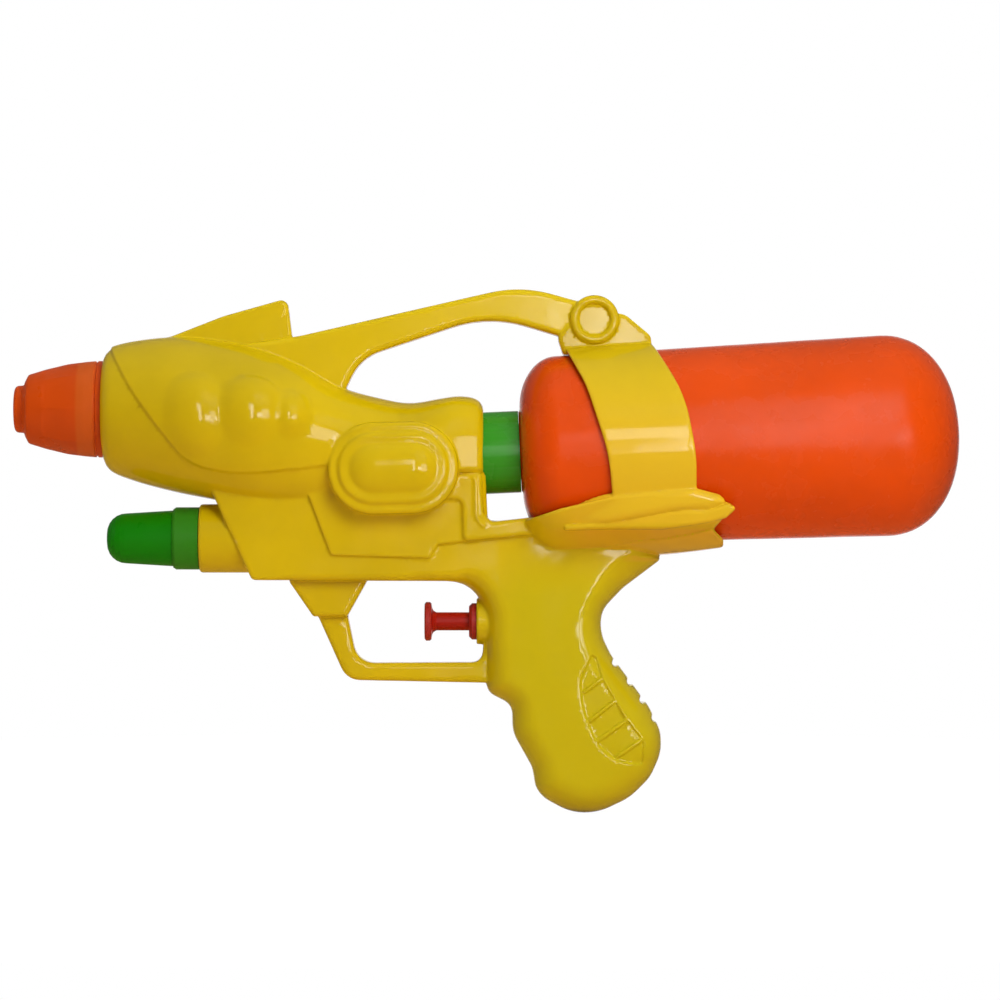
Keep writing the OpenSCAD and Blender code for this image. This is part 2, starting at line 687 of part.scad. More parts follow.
module dip_tube() {
    color(clear) on_tank_axis() hose(dip_route, dip_r, dip_r - 0.6, 2, 9);
}

module suction_hose() {
    color(clear) hose(suction_route, hose_r, hose_bore, 2, 9);
}

module delivery_hose() {
    color(clear) hose(delivery_route, hose_r, hose_bore, 2, 9);
}

module pump_cylinder() {
    length = chamber_x + chamber_len + pump_end - mouth_x;
    color(natural) difference() {
        union() {
            along_x(mouth_x, pump_z) cylinder(h = length, r = pump_r, $fn = 64);
            translate([port_x, 0, pump_z - column_h]) cylinder(h = 2 * column_h, r = column_r, $fn = 48);
        }
        along_x(mouth_x - 1, pump_z) cylinder(h = chamber_x - mouth_x + 1, r = gland_plug_r + fit, $fn = 64);
        along_x(chamber_x - eps, pump_z) cylinder(h = chamber_len + eps, r = bore_r, $fn = 64);
        translate([port_x, 0, pump_z]) cylinder(h = outlet_seat + eps, r = valve_seat_r, $fn = 32);
        translate([port_x, 0, pump_z + outlet_seat]) cylinder(h = column_h, r = valve_r, $fn = 32);
        translate([port_x, 0, pump_z - inlet_stop]) cylinder(h = inlet_stop, r = 0.9, $fn = 32);
        translate([port_x - 0.5, -valve_r + 0.2, pump_z - inlet_stop])
            cube([1, 2 * valve_r - 0.4, inlet_stop]);
        translate([port_x, 0, pump_z - inlet_stop - column_h]) cylinder(h = column_h, r = valve_r, $fn = 32);
    }
}

module gland() {
    color(red) along_x(gland_x, pump_z) rotate_extrude($fn = 64) polygon([
        [rod_r + fit, 0], [gland_r - 1, 0], [gland_r, 1], [gland_r, mouth_x - gland_x],
        [gland_plug_r, mouth_x - gland_x], [gland_plug_r, chamber_x - gland_x], [seal_r, chamber_x - gland_x],
        [seal_r, chamber_x - gland_x - seal_t], [rod_r + fit, chamber_x - gland_x - seal_t]
    ]);
}

module rod_seal() {
    color(rubber) along_x(chamber_x, pump_z) ring(seal_r - fit, rod_r + fit, -seal_t + fit, -fit);
}

module trigger() {
    back = piston_x - head_x + piston_len;
    groove = back - piston_len + groove_at;
    color(red) along_x(head_x, pump_z) rotate_extrude($fn = 64) polygon([
        [0, 0.5], [3, 0.3], [head_r - 0.6, 0], [head_r, 0.5], [head_r, 1.8], [head_r - 0.4, 2.3],
        [rod_r + 1.5, 2.6], [rod_r + 0.6, 3], [rod_r, head_flare], [rod_r, back - piston_len],
        [piston_r, back - piston_len], [piston_r, groove], [groove_r, groove], [groove_r, groove + groove_t],
        [piston_r, groove + groove_t], [piston_r, back], [spigot_r, back], [spigot_r, back + 2], [0, back + 2]
    ]);
}

module piston_seal() {
    color(rubber) along_x(piston_x + groove_at, pump_z)
        ring(bore_r - fit, groove_r + fit, fit, groove_t - fit);
}

module return_spring() {
    x0 = piston_x + piston_len + wire_r + fit;
    x1 = chamber_x + chamber_len - wire_r - fit;
    steps = 9 * spring_turns;
    route = [
        for (k = [0 : steps])
            [x0 + (x1 - x0) * k / steps, spring_r * cos(40 * k), pump_z + spring_r * sin(40 * k)]
    ];
    color(steel) hose(route, wire_r, 0, 1, 6, [1, 0, 0]);
}

module inlet_cap() {
    color(natural) translate([port_x, 0, pump_z]) rotate([180, 0, 0]) rotate_extrude($fn = 48) polygon([
        [valve_seat_r, inlet_seat], [valve_r - fit, inlet_seat], [valve_r - fit, column_h],
        [column_r, column_h], [column_r, column_h + cap_t], [stub_r, column_h + cap_t],
        [stub_r, column_h + cap_t + stub_len], [stub_bore, column_h + cap_t + stub_len],
        [stub_bore, inlet_seat + 1], [valve_seat_r, inlet_seat + 0.8]
    ]);
}

module inlet_ball() {
    color(steel) translate([port_x, 0, pump_z - inlet_seat + seat_drop + 0.02]) sphere(r = ball_r, $fn = 32);
}

module outlet_elbow() {
    color(natural) difference() {
        union() {
            translate([port_x, 0, pump_z + outlet_stop])
                cylinder(h = elbow_top - outlet_stop, r = valve_r - fit, $fn = 48);
            translate([port_x, 0, pump_z + column_h])
                cylinder(h = elbow_top - column_h, r = column_r, $fn = 48);
            along_x(stub_x, pump_z + elbow_z)
                cylinder(h = column_r + stub_len, r = stub_r, $fn = 48);
        }
        translate([port_x, 0, pump_z + outlet_stop - 1])
            cylinder(h = elbow_z - outlet_stop + 1, r = 1, $fn = 32);
        translate([port_x - 0.5, -valve_r - 1, pump_z + outlet_stop - 1]) cube([1, 2 * valve_r + 2, 1.8]);
        along_x(stub_x - 1, pump_z + elbow_z)
            cylinder(h = column_r + stub_len + 1.6, r = stub_bore, $fn = 32);
    }
}

module outlet_ball() {
    color(steel) translate([port_x, 0, pump_z + outlet_seat + seat_drop + 0.02]) sphere(r = ball_r, $fn = 32);
}

left_shell();
right_shell();
shell_screws();
nozzle();
jet_spout();
muzzle_plug();
tank_collar();
neck_gasket();
tank();
dip_tube();
suction_hose();
delivery_hose();
pump_cylinder();
gland();
rod_seal();
trigger();
piston_seal();
return_spring();
inlet_cap();
inlet_ball();
outlet_elbow();
outlet_ball();
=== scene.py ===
"""Looks of the toy water squirter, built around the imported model.

The two shells are shaped as distance fields on a grid and meshed from them, because their forms run
into each other. The tank and the nozzle are turned. Lengths of forms are in millimetres, in the frame
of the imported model, and become metres when a mesh is made. The near side of the photograph is -Y. One
half is shaped by its depth from the seam, and serves both sides.
"""
import math

import bmesh
import bpy
import numpy as np
import openvdb
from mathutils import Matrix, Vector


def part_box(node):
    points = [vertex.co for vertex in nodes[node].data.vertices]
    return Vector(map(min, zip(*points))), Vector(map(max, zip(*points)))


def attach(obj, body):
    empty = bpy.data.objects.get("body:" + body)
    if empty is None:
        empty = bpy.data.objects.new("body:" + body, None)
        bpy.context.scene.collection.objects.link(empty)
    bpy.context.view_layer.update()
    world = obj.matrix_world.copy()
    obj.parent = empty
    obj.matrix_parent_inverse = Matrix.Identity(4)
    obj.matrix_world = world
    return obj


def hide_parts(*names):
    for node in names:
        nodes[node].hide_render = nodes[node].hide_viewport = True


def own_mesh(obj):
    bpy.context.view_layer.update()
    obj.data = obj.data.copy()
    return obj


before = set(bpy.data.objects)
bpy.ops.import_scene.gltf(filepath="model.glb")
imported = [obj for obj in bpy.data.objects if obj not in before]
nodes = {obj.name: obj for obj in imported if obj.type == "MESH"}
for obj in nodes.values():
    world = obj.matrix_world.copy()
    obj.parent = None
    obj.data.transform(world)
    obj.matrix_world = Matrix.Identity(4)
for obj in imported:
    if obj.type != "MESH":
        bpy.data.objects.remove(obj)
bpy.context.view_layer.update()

MM = 0.001
# Keep divisions by slopes and by lengths off zero
TINY = 1e-6
NIL = 1e-9
# Share of a form's size that counts as its centre
CENTRE = 1e-3
# Largest share of a side that a corner's arc may take
CORNER_ROOM = 0.48

# Grid of the shells: X, depth from the seam, Z
CELL = 0.5
GRID_LOW = (-132.0, -1.5, -2.0)
GRID_HIGH = (88.0, 38.5, 181.5)
# Cells of the field that are kept on each side of its surface
BAND = 3
# How readily openvdb merges faces where the surface is nearly flat, from 0 to 1
MERGE = 0.014
# A face whose middle lies this close to the surface is level. It keeps its own normal if the field's
# turns from it by more than this at a corner, in degrees
FLAT_WITHIN = 0.01
FLAT_TURN = 2.0
# A face within this turn of the seam counts as parallel to it, and as level, in degrees
SEAM_TURN = 0.7
# Turned and wound pieces: points closer than this merge, in metres, and edges turn sharp from this angle
SAME_POINT = 1e-7
SHARP_FROM = math.radians(35)

# Walls and fits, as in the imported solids
WALL = 2.2
SEAM_GAP = 0.01
SEAM_EDGE = 0.35
SEAT = 0.1
# Soft edges of the room inside the shells and of holes, and how far a hole runs past a surface
ROOM_EDGE = 0.6
HOLE_EDGE = 0.2
PAST = 1

# Tank axis at the shoulder face, and the tank's outline along it
TANK_X = 11.7
TANK_Z = 122.7
TANK_TILT = math.radians(2.5)
TANK_FRONT_R = 31.9
TANK_REAR_R = 34.1
TANK_LEN = 148.6
TANK_DOME = 25.5
TANK_WALL = 1.4
DOME_POWER = 0.92
SHOULDER = 13.0
SHOULDER_R = 14.4
NECK_R = 9.5
NECK_WALL = 1.8
NECK_LEN = 14.0
THREAD_PITCH = 4.0
THREAD_H = 1.1
THREAD_TURNS = 1.25
TANK_GAP = 0.45
TANK_SIDES = 144
# The shoulder's flat face, and its outer corner: radius, place along the axis
SHOULDER_FACE = 0.45
SHOULDER_CORNER = [(13.4, -SHOULDER_FACE), (13.7, -0.2)]
# The thread's ridge: its start from the neck's end, half widths of foot and crest, depth of the foot in
# the neck, steps in a turn, and steps over which its ends grow from a first share
THREAD_START = 1.4
THREAD_FOOT = 0.8
THREAD_CREST = 0.4
THREAD_SINK = 0.3
THREAD_STEPS = 36
THREAD_RUNOUT = 6
THREAD_FIRST = 0.12
# Collar, and the flange that holds it in the shells: places along the tank's axis
COLLAR_R = 13.9
COLLAR_FRONT = -17.4
FLANGE_RISE = 1.3
FLANGE_FRONT = COLLAR_FRONT - 2
FLANGE_REAR = -15.6

# Barrel, nozzle and lower tube
MUZZLE_X = -160.4
NOZZLE_Z = 137.1
NOZZLE_R = 16.4
NOZZLE_SIDES = 192
NOZZLE_FLANGE = 1.7
NOZZLE_ROOM = 8
BARREL_FRONT = -130.2
BARREL_REAR = -1.2
BARREL_FRONT_EDGE = 1.2
BARREL_REAR_EDGE = 2.2
RIM_DEPTH = 4.0
TUBE_Z = 93.2
TUBE_R = 11.7
TUBE_BORE_R = TUBE_R - WALL - 1
TUBE_FRONT = -97.6
TUBE_REAR = -70
TUBE_ROOM_REAR = -68
TUBE_EDGE = 1.0
PLUG_DEPTH = 13

# Nozzle's section: radius, place behind the muzzle, corner radius
NOZZLE_SECTION = [
    (3.1, 0, 0.05), (7.9, 0, 1.4), (8.1, 3.2, 1.2), (9.6, 3.6, 0.6), (11.7, 4.7, 1.2), (13.5, 10.5, 20),
    (15.3, 18, 20), (16.1, 24.5, 20), (16.35, 27.6, 0.2), (15.9, 27.8, 0.1), (15.9, 28.2, 0.1),
    (16.4, 28.5, 0.3), (16.4, 34.2, 0.05), (18, 34.2, 0.3), (18, 35.9, 0.3), (14.4, 35.9, 0.05),
    (14.4, 22.1, 2), (9.6, 6.1, 1), (6, 2.5, 0.5), (3.1, 2.5, 0.05),
]
FLATS = 8
FLAT_DEPTH = 0.6
FLAT_FROM = (9.6, 11.6)
FLAT_TO = (20.6, 21.8)
# Radius that parts the outside from the bore, where the flats begin and end
FLAT_INSIDE_R = (12.6, 15.2)

# Grip, pump and screws
BODY_HALF = 13.0
BODY_FACE_EDGE = 0.5
GRIP_FLARE = 0.035
GRIP_FLARE_FROM = 4.0
PUMP_Z = 65.0
PUMP_R = 7.0
PUMP_MOUTH = -3.4
PUMP_LEN = 39
# Rim of the shells round the pump's mouth: wall, how far it stands out, rear end, edge
PUMP_RIM = (0.8, 0.2, 4, 0.5)
SPRING_R = 3.3
SPRING_WIRE_R = 0.35
SPRING_TURNS = 6
SPRING_STEPS = 28
WIRE_SIDES = 10
# The lug's place, half width and edge, its disc and its ring
LUG = (36.4, 167.33)
LUG_HALF = 6.7
LUG_EDGE = 1.3
DISC_R = 7
DISC_HALF = 6.9
DISC_FILLET = 0.2
RING_R = 6.75
RING_WIRE_R = 1.55
SCREWS = [(-116, 151), (-60, 128), (-69.5, 86), (-57, 156.5), (-17.5, 134), (46, 83.5), (38.5, 13), LUG]
BOSS_R = 4.4
SCREW_HOLE_R = 1.4
SCREW_WELL_R = 2.9
SCREW_SEAT = 3.0
# Depths from the seam of the screws' holes, with and without a well
HOLE_TO_WELL = 4.2
HOLE_BLIND = 5.2

# Barrel sections from front to rear below the raised flank: X, top, bottom, half width
BARREL_ROWS = [
    (-130.2, 154.9, 119.3, 17.8), (-127.2, 157.6, 115.6, 21.0), (-118.8, 159.6, 112.3, 23.4),
    (-106, 160.8, 108.9, 25.4), (-92.8, 159.8, 106.3, 26.1), (-78.2, 157.1, 103.5, 26.1),
    (-63.6, 151.4, 102.2, 23.6), (-50.5, 144.1, 103, 20.1), (-35.4, 139.8, 104.6, 18),
    (-25.8, 138.4, 105.2, 17.4), (-16, 139.9, 105.2, 18.0), (-10, 140.7, 105.2, 17.2),
    (-5, 140.2, 105.4, 15.9), (-1, 138.2, 105.6, 14.9),
]
# How far the barrel's widest line lies above its middle: X, height
WIDEST = [(-130, 0), (-92, 0), (-58, 5), (-42, 3), (-28, 0), (0, 0)]
# Lower edge of the raised flank, from the rim to the rear, and the region above it
FLANK_EDGE = [
    (-128.4, 159.5), (-126.4, 155.4), (-119.4, 143.3), (-111.3, 132.0), (-103.8, 122.6), (-99.9, 119.3),
    (-94.5, 116.9), (-82.2, 115.2), (-65.9, 116.3), (-53.6, 117.9),
]
FLANK_REST = [(4, 115.9), (4, 190), (-128.4, 190)]
FLANK_RISE = 0.9
FLANK_STEP = 0.9
# Bumps on the flank: X, Z, radius along, radius up, depth of the top, lean in degrees
BUMPS = [
    (-97.2, 134.8, 12.4, 14.2, 29.1, 18), (-79.8, 135.3, 12.9, 12.6, 29.4, 0),
    (-66.6, 134.2, 8.2, 9.0, 27.1, 0),
]
BUMP_DEPTH = 7.5
BUMP_BLEND = 1.4
# The section of the barrel grows squarer between these places
SQUARE_FROM = -30.0
SQUARE_TO = -12.0
SQUARE_POWER = 3.0

# Outlines in X and Z, each corner with its radius
BODY = [
    (-93.8, 111, 1), (-79.3, 79.2, 2), (-1.4, 78.7, 12.2), (-0.2, 41.1, 5), (8.4, 36.7, 5), (8.6, 27.4, 12),
    (15.3, 15.4, 8), (16.4, 8.6, 8), (19.2, 5, 12), (28.4, 0, 20), (37.8, 0, 20), (48.6, 5.1, 20),
    (55.5, 12, 15), (59.2, 20.2, 15), (59.2, 27.4, 12), (55, 36.3, 20), (42.3, 53.5, 20), (38.8, 60.7, 15),
    (38.8, 68.5, 10), (46.2, 76.3, 20), (59.3, 86.2, 1.5), (52, 96, 1), (0.3, 99.4, 1), (-1, 127, 1),
    (-63.6, 127, 1),
]
# Squared distance within which one place alone rules the edge
EDGE_NEAR = 4
# Edge of the body near these places: X, Z, width of the edge, its depth, half width where it would end
BODY_EDGES = [
    (-90, 103, 1.4, 1.4, 13), (-80, 82, 1.4, 1.4, 13), (-60, 79, 2.7, 2.7, 13), (-35, 79, 2.7, 2.7, 13),
    (-15, 78.5, 4, 4.5, 13), (-4, 75, 8, 11, 13), (-0.5, 62, 9, 13, 13), (1, 46, 9, 13, 13),
    (8, 33, 9, 13, 13), (14, 17, 9, 13, 13), (20, 6, 10, 13, 13), (33, 0, 10, 13, 13), (47, 5, 10, 13, 13),
    (55, 12, 11, 14, 14), (59, 24, 11, 15, 15), (55, 34, 11.5, 15, 15), (49, 43, 12, 15, 15),
    (43, 52, 11.5, 15, 15), (38, 62, 11, 15, 15), (38, 70, 9.6, 15, 15), (45, 76, 12, 15, 15),
    (53, 83, 15.6, 15, 15), (58, 87, 15.6, 15, 15), (50, 96, 2, 2, 13), (25, 98, 2, 2, 13),
    (0, 100, 1.5, 1.5, 13), (-1, 115, 1.5, 1.5, 13),
]
GUARD = [
    (-58.8, 70.2, 1), (-47.6, 45.2, 7), (1, 44.2, 1), (1, 58, 1), (-1.2, 58, 1), (-1.8, 51.2, 5),
    (-43.9, 51, 7), (-47.9, 70.2, 1),
]
GUARD_BLOCK = [(-67.7, 79.7, 1), (-58.8, 66.8, 1), (-47.3, 66.8, 1), (-40.1, 79.7, 1)]
HANDLE = [
    (-86.7, 154, 1), (-50.4, 138.6, 1), (-42.8, 154.4, 16), (0.6, 168.9, 56),
    (LUG[0] - 9.9, LUG[1] - 6.2, 1), (LUG[0] - 3, LUG[1] + 5.6, 1), (11.6, 179.1, 60), (-63.6, 161.9, 30),
    (-86.7, 158.4, 1),
]
FIN = [(-108.5, 156, 1), (-65.6, 157, 1), (-67.8, 174.8, 2.5), (-89.5, 168.7, 40), (-108.5, 161.3, 1)]
LUG_PLATE = [
    (LUG[0] - 10.6, LUG[1] - 12, 1), (LUG[0] + 19.4, LUG[1] - 10.6, 1), (LUG[0] + 19.2, LUG[1] - 5.5, 3),
    (LUG[0] + 9.5, LUG[1] + 2.6, 6), (LUG[0] - 8.9, LUG[1] - 1, 4), (LUG[0] - 12.6, LUG[1] - 5.9, 3),
]
STRAP = [
    (22, 166, 1), (33.3, 144.3, 40), (40.5, 121.6, 60), (42.2, 104.6, 1), (70, 104.6, 1), (69.7, 121.6, 60),
    (66, 141.3, 50), (52, 166, 1),
]
CRADLE = [
    (11.2, 84, 1), (59.8, 87.2, 1), (79.8, 90.2, 1), (79.5, 92.9, 1), (76, 96.4, 1), (82.6, 104.6, 1),
    (69.4, 109.4, 6), (41.5, 107.3, 6), (24.8, 103.5, 3), (11.9, 99.1, 1),
]
KEEL = [
    (38, 84, 1), (59.8, 87.2, 1), (79.8, 90.2, 1), (79.5, 92.9, 1), (75.7, 96.6, 1), (69.4, 95.2, 8),
    (61.6, 93.7, 8), (50.6, 92.6, 8), (38, 90, 1),
]
LIP = [
    (16.7, 99.4, 1), (25.9, 97.4, 3), (39.3, 98.5, 10), (54.6, 101, 10), (61.2, 102.3, 10), (67.6, 102.9, 8),
    (74, 102.8, 4), (80.4, 105.3, 1.5), (77.5, 108.2, 4), (68.5, 110.5, 8), (40.3, 108.4, 15),
    (30, 106.2, 10), (17.2, 100.9, 3),
]
LEAF = [
    (25.9, 97.8, 0.5), (25.9, 96, 0.5), (41.3, 96.5, 10), (58.5, 96.4, 10), (66, 97.4, 8), (74, 98.7, 8),
    (79.6, 100.2, 2), (83.6, 103.8, 1.2), (80.2, 105.2, 1), (73.7, 102.9, 6), (67.6, 103.2, 8),
    (61.2, 102.6, 8), (54.6, 101.3, 8), (39.3, 98.8, 8),
]
# Faces of the lip and the leaf: a point on each in X, Y, Z, and its slopes along X and Z
LIP_FRONT = (17.0, 18.0, 101.0, 0.75, 0.1)
LIP_FACE = (34.0, 31.0, 103.0, 0.055, 0.1)
LEAF_FACE = (26.0, 27.0, 98.0, 0.095, 0.22)
# Edges of the lip: between its two faces, and the width and depth of its outer edge
LIP_FOLD = 8
LIP_EDGE = (3.0, 2.6)
LEAF_EDGE = 1.3
LEAF_FILLET = 0.3
ARM = [
    (-18, 115.3, 1), (-18, 106.4, 1), (-8.6, 106.3, 2.2), (-8.3, 92.3, 2), (24.5, 95.4, 1), (24.5, 103, 1),
    (16.7, 100.6, 4), (1.6, 98.9, 2), (-1.0, 101.6, 2.5), (-1.8, 115.3, 1),
]
ARM_HALF = 15.4
ARM_EDGE = 1.3
# The barrel's side ends above the arm
UNDER_FLANK = [(-30, 96, 0.1), (6, 96, 0.1), (6, 115.5, 0.1), (-30, 115.5, 0.1)]
UNDER_EDGE = 0.4
# Bead along the arm's inner corner
ARM_BEAD = [(-4.5, 113.6), (-3.8, 112.4), (-3.7, 106.5), (-3.6, 101.4), (-2.7, 99.2), (-1.2, 97.5)]
ARM_BEAD_R = 0.6
PANEL = [
    (-61.5, 111, 1), (-52.6, 87.6, 1.5), (-19.2, 86.6, 1), (-16.8, 91.1, 1), (-7.5, 92.3, 1), (-6, 116, 1),
]
PANEL_RISE = 1.2
PANEL_EDGE = 0.7
HANDLE_HALF = 6.0
HANDLE_EDGE = 2.0
# Solid plates on the seam: outline, half width, edge
SOLID_PLATES = [(GUARD, 5, 1.7), (GUARD_BLOCK, 8, 1.5), (FIN, 3, 1.0)]
# Plates round the tank: outline, thickness outside the gap, edge
TANK_PLATES = [(STRAP, 2.4, 0.8), (CRADLE, 3.6, 1.0), (KEEL, 4.3, 0.8)]
# Ribbed panel on the grip, with the depth and edges of the cells between its ribs
RIB_PANEL = [
    (35.3, 53.8, 0.5), (31.4, 45.5, 10), (32.3, 35.5, 40), (37, 24, 15), (43.5, 18.2, 12), (52.4, 17.1, 0.8),
    (52.8, 25, 1.5), (46, 33.4, 20), (38.9, 46, 12), (36.8, 53, 0.6),
]
RIBS = [
    ((32.9, 41.6), (40, 47)), ((34.6, 31.8), (45, 40)), ((37.4, 25.1), (49, 33.5)), ((43.9, 19.8), (53, 26)),
]
RIB_R = 0.6
RIB_DEPTH = 0.9
CELL_FLOOR_EDGE = 0.3
CELL_RIM_EDGE = 0.6
BACK_NOTCHES = [(43.5, 51.0), (48.6, 44.6), (52.8, 38.5), (57.0, 32.3)]
NOTCH_R = 1.0
NOTCH_EDGE = 0.9

# Oval cover on the flank
OVAL = (-31.5, 117.0)
OVAL_TILT = math.radians(1.3)
OVAL_REACH = 6.5
OVAL_R = 15.4
# Steps of the oval cover: inset, half width, width of the edge, its depth, fillet
OVAL_LEVELS = [(0.0, 21.5, 1.6, 1.6, 0.7), (3.4, 22.9, 1.5, 1.3, 1.0), (6.2, 25.6, 9.2, 5.1, 0.5)]
OVAL_SHOULDER = 2

# Plastics: cells a metre and detail of each noise
TONE_NOISE = (28, 4)
GLOSS_NOISE = (90, 6)
WAVE_NOISE = (55, 2)
GRAIN_NOISE = (1600, 3)
# Heights of the sink waves and of the grain, in metres
WAVE_HEIGHT = 0.0006
GRAIN_HEIGHT = 0.00006
# Ranges of the tone and of the roughness, as shares of the plain one
TONE_RANGE = (0.90, 1.07)
GLOSS_RANGE = (0.75, 1.35)
# Stops of the noises and of the edges' pointiness, how pale a rubbed edge is, how clear a hose is
TONE_STOPS = (0.3, 0.7)
GLOSS_STOPS = (0.35, 0.7)
EDGE_STOPS = (0.52, 0.62)
RUBBED_PALE = 0.12
HOSE_CLEAR = 0.6
WHITE = (1, 1, 1, 1)

# The view, in millimetres: its width, the camera's distance, how far it sees, and its middle in X and Z
VIEW_WIDTH = 340
VIEW_BACK = 1500
VIEW_END = 50000
VIEW_MIDDLE = (4.42, 106.25)
SENSOR = 36
# Lamps: name, place, target, width, height, radiance, and whether it is only mirrored
LAMPS = [
    ("key", (0.25, -0.6, 0.5), (0.02, 0, 0.1), 0.4, 0.4, 7.2, False),
    ("fill", (0.35, -0.8, 0.06), (0.02, 0, 0.1), 0.4, 0.1, 4.5, False),
    ("window", (1.6, -2.75, 0.12), (0, 0, 0.12), 0.9, 1, 3.2, True),
    ("pane", (0.86, -2.75, 0.02), (0, 0, 0.12), 0.48, 0.4, 7, True),
    ("wall", (0.165, -2.8, 0.39), (0.1, 0, 0.13), 0.21, 1.26, 6.3, True),
    ("band", (-0.02, -2.8, 0.8), (0, 0, 0.13), 0.16, 0.6, 3.2, True),
    ("back", (0, 0.9, 0.22), (0, 0, 0.1), 0.7, 0.4, 6, False),
    ("side", (-0.9, 0.05, 0.3), (-0.1, 0, 0.12), 0.4, 0.4, 3, False),
    ("ceiling", (0.2, -0.2, 2.2), (0, 0, 0.1), 2, 2, 0.9, False),
]
# The room's light from below, from level and from above
ROOM_BELOW = (0.45, 0.29, 0.1, 1)
ROOM_LEVEL = (0.11, 0.105, 0.1, 1)
ROOM_ABOVE = (0.26, 0.25, 0.23, 1)
# Gloss mirrors white right behind the object, between these Y parts of a direction
BEHIND = (0.93, 0.97)
# Floor: radius in metres, sides, the colour of its light, and its white for the camera with its share
FLOOR_R = 0.5
FLOOR_SIDES = 96
FLOOR_COLOUR = (0.85, 0.66, 0.46, 1)
FLOOR_WHITE = 1.06
FLOOR_WHITE_SHARE = 0.93


def axis_values(k):
    """Places of the grid along one axis."""
    return np.arange(GRID_LOW[k], GRID_HIGH[k] + CELL, CELL, dtype=np.float32)


X = axis_values(0)[:, None, None]
Y = axis_values(1)[None, :, None]
Z = axis_values(2)[None, None, :]


def arc_corner(before, corner, after, steps=7):
    """Points of the arc that replaces a corner with a radius."""
    b = np.array(corner[:2])
    to_a = np.array(before[:2]) - b
    to_c = np.array(after[:2]) - b
    room = CORNER_ROOM * min(np.hypot(*to_a), np.hypot(*to_c))
    u = to_a / np.hypot(*to_a)
    w = to_c / np.hypot(*to_c)
    half = math.acos(np.clip(u @ w, -1, 1)) / 2
    reach = min(corner[2] / math.tan(half), room)
    radius = reach * math.tan(half)
    middle = b + (u + w) / np.hypot(*(u + w)) * radius / math.sin(half)
    p = b + u * reach - middle
    q = b + w * reach - middle
    first = math.atan2(p[1], p[0])
    sweep = (math.atan2(q[1], q[0]) - first + 3 * math.pi) % (2 * math.pi) - math.pi
    angles = first + sweep * np.arange(steps + 1) / steps
    return middle + radius * np.stack([np.cos(angles), np.sin(angles)], 1)


def rounded(outline):
    """An outline with an arc at each corner."""
    count = len(outline)
    return np.vstack([
        arc_corner(outline[i - 1], outline[i], outline[(i + 1) % count]) for i in range(count)
    ])


def outline_field(points):
    """Signed distance to a closed outline in X and Z, below zero inside."""
    x = X[:, 0]
    z = Z[0]
    best = np.full((x.shape[0], z.shape[1]), np.inf, np.float32)
    inside = np.zeros(best.shape, bool)
    for (ax, az), (bx, bz) in zip(points, np.roll(points, -1, 0)):
        dx = np.float32(bx - ax)
        dz = np.float32(bz - az)
        length = dx * dx + dz * dz
        if length < NIL:
            continue
        t = np.clip(((x - ax) * dx + (z - az) * dz) / length, 0, 1)
        best = np.minimum(best, (x - ax - t * dx) ** 2 + (z - az - t * dz) ** 2)
        if abs(dz) > NIL:
            inside ^= ((az > z) != (bz > z)) & (x < dx * (z - az) / dz + ax)
    field = np.sqrt(best)
    return np.where(inside, -field, field)[:, None, :].astype(np.float32)


def flat(outline):
    """The field of an outline with its corners rounded."""
    return outline_field(rounded(outline))


def smooth_rows(rows, steps=6):
    """Rows on a smooth curve through the given rows."""
    rows = np.array(rows, float)
    padded = np.vstack([rows[:1], rows, rows[-1:]])
    out = []
    for a, b, c, d in zip(padded, padded[1:], padded[2:], padded[3:]):
        for t in np.arange(steps) / steps:
            out.append(b + 0.5 * t * (c - a + t * (2 * a - 5 * b + 4 * c - d + t * (3 * (b - c) + d - a))))
    return np.array(out + [rows[-1]])


def join(a, b, blend=0.5):
    """The union of two fields, with a fillet."""
    h = np.clip(0.5 + 0.5 * (b - a) / blend, 0, 1)
    return b + (a - b) * h - blend * h * (1 - h)


def cut(a, b, blend):
    """Field a without field b, with a soft edge."""
    return -join(-a, b, blend)


def meet(a, b, radius):
    """What two fields share, with a round edge."""
    outer = np.hypot(np.maximum(a + radius, 0), np.maximum(b + radius, 0))
    return np.minimum(np.maximum(a, b), -radius) + outer


def plate(outline, half, edge):
    """A plate from the seam out to a half width, with a round edge."""
    return meet(outline, Y - half, edge)


def soft_meet(a, b, edge, depth):
    """What two fields share, with an edge that starts this far before a and b end."""
    u = np.maximum(a + edge, 0) / edge
    v = np.maximum(b + depth, 0) / depth
    k = np.hypot(u, v)
    slope = np.hypot(u / edge, v / depth)
    return np.where(k > CENTRE, k * (k - 1) / np.maximum(slope, TINY), np.maximum(a, b))


def ellipse_field(u, v, a, b, power=2.0):
    """Distance from an ellipse of half axes a and b, from the shares u and v of each."""
    u = np.abs(u)
    v = np.abs(v)
    k = np.maximum((u ** power + v ** power) ** (1 / power), CENTRE)
    slope = np.hypot(u ** (power - 1) / a, v ** (power - 1) / b) * k ** (1 - power)
    return ((k - 1) / np.maximum(slope, TINY)).astype(np.float32)


def slanted(x, y, z, along, up):
    """Distance past a slanted face, on the side away from the seam."""
    steep = math.sqrt(1 + along * along + up * up)
    return ((Y - y - along * (X - x) - up * (Z - z)) / steep).astype(np.float32)


def rod_x(z, radius, x0, x1, edge=0.05):
    """A round bar along X."""
    reach = np.hypot(Y, Z - z) - radius
    ends = np.maximum(x0 - X, X - x1)
    return meet(reach, ends, edge)


def rod_y(x, z, radius, y0, y1):
    """A round bar along Y."""
    reach = np.hypot(X - x, Z - z) - radius
    return np.maximum(reach, np.maximum(y0 - Y, Y - y1))


def soft_share(field, width):
    """1 inside a field and 0 outside it, with a soft step."""
    t = np.clip(0.5 - field / width, 0, 1)
    return t * t * (3 - 2 * t)


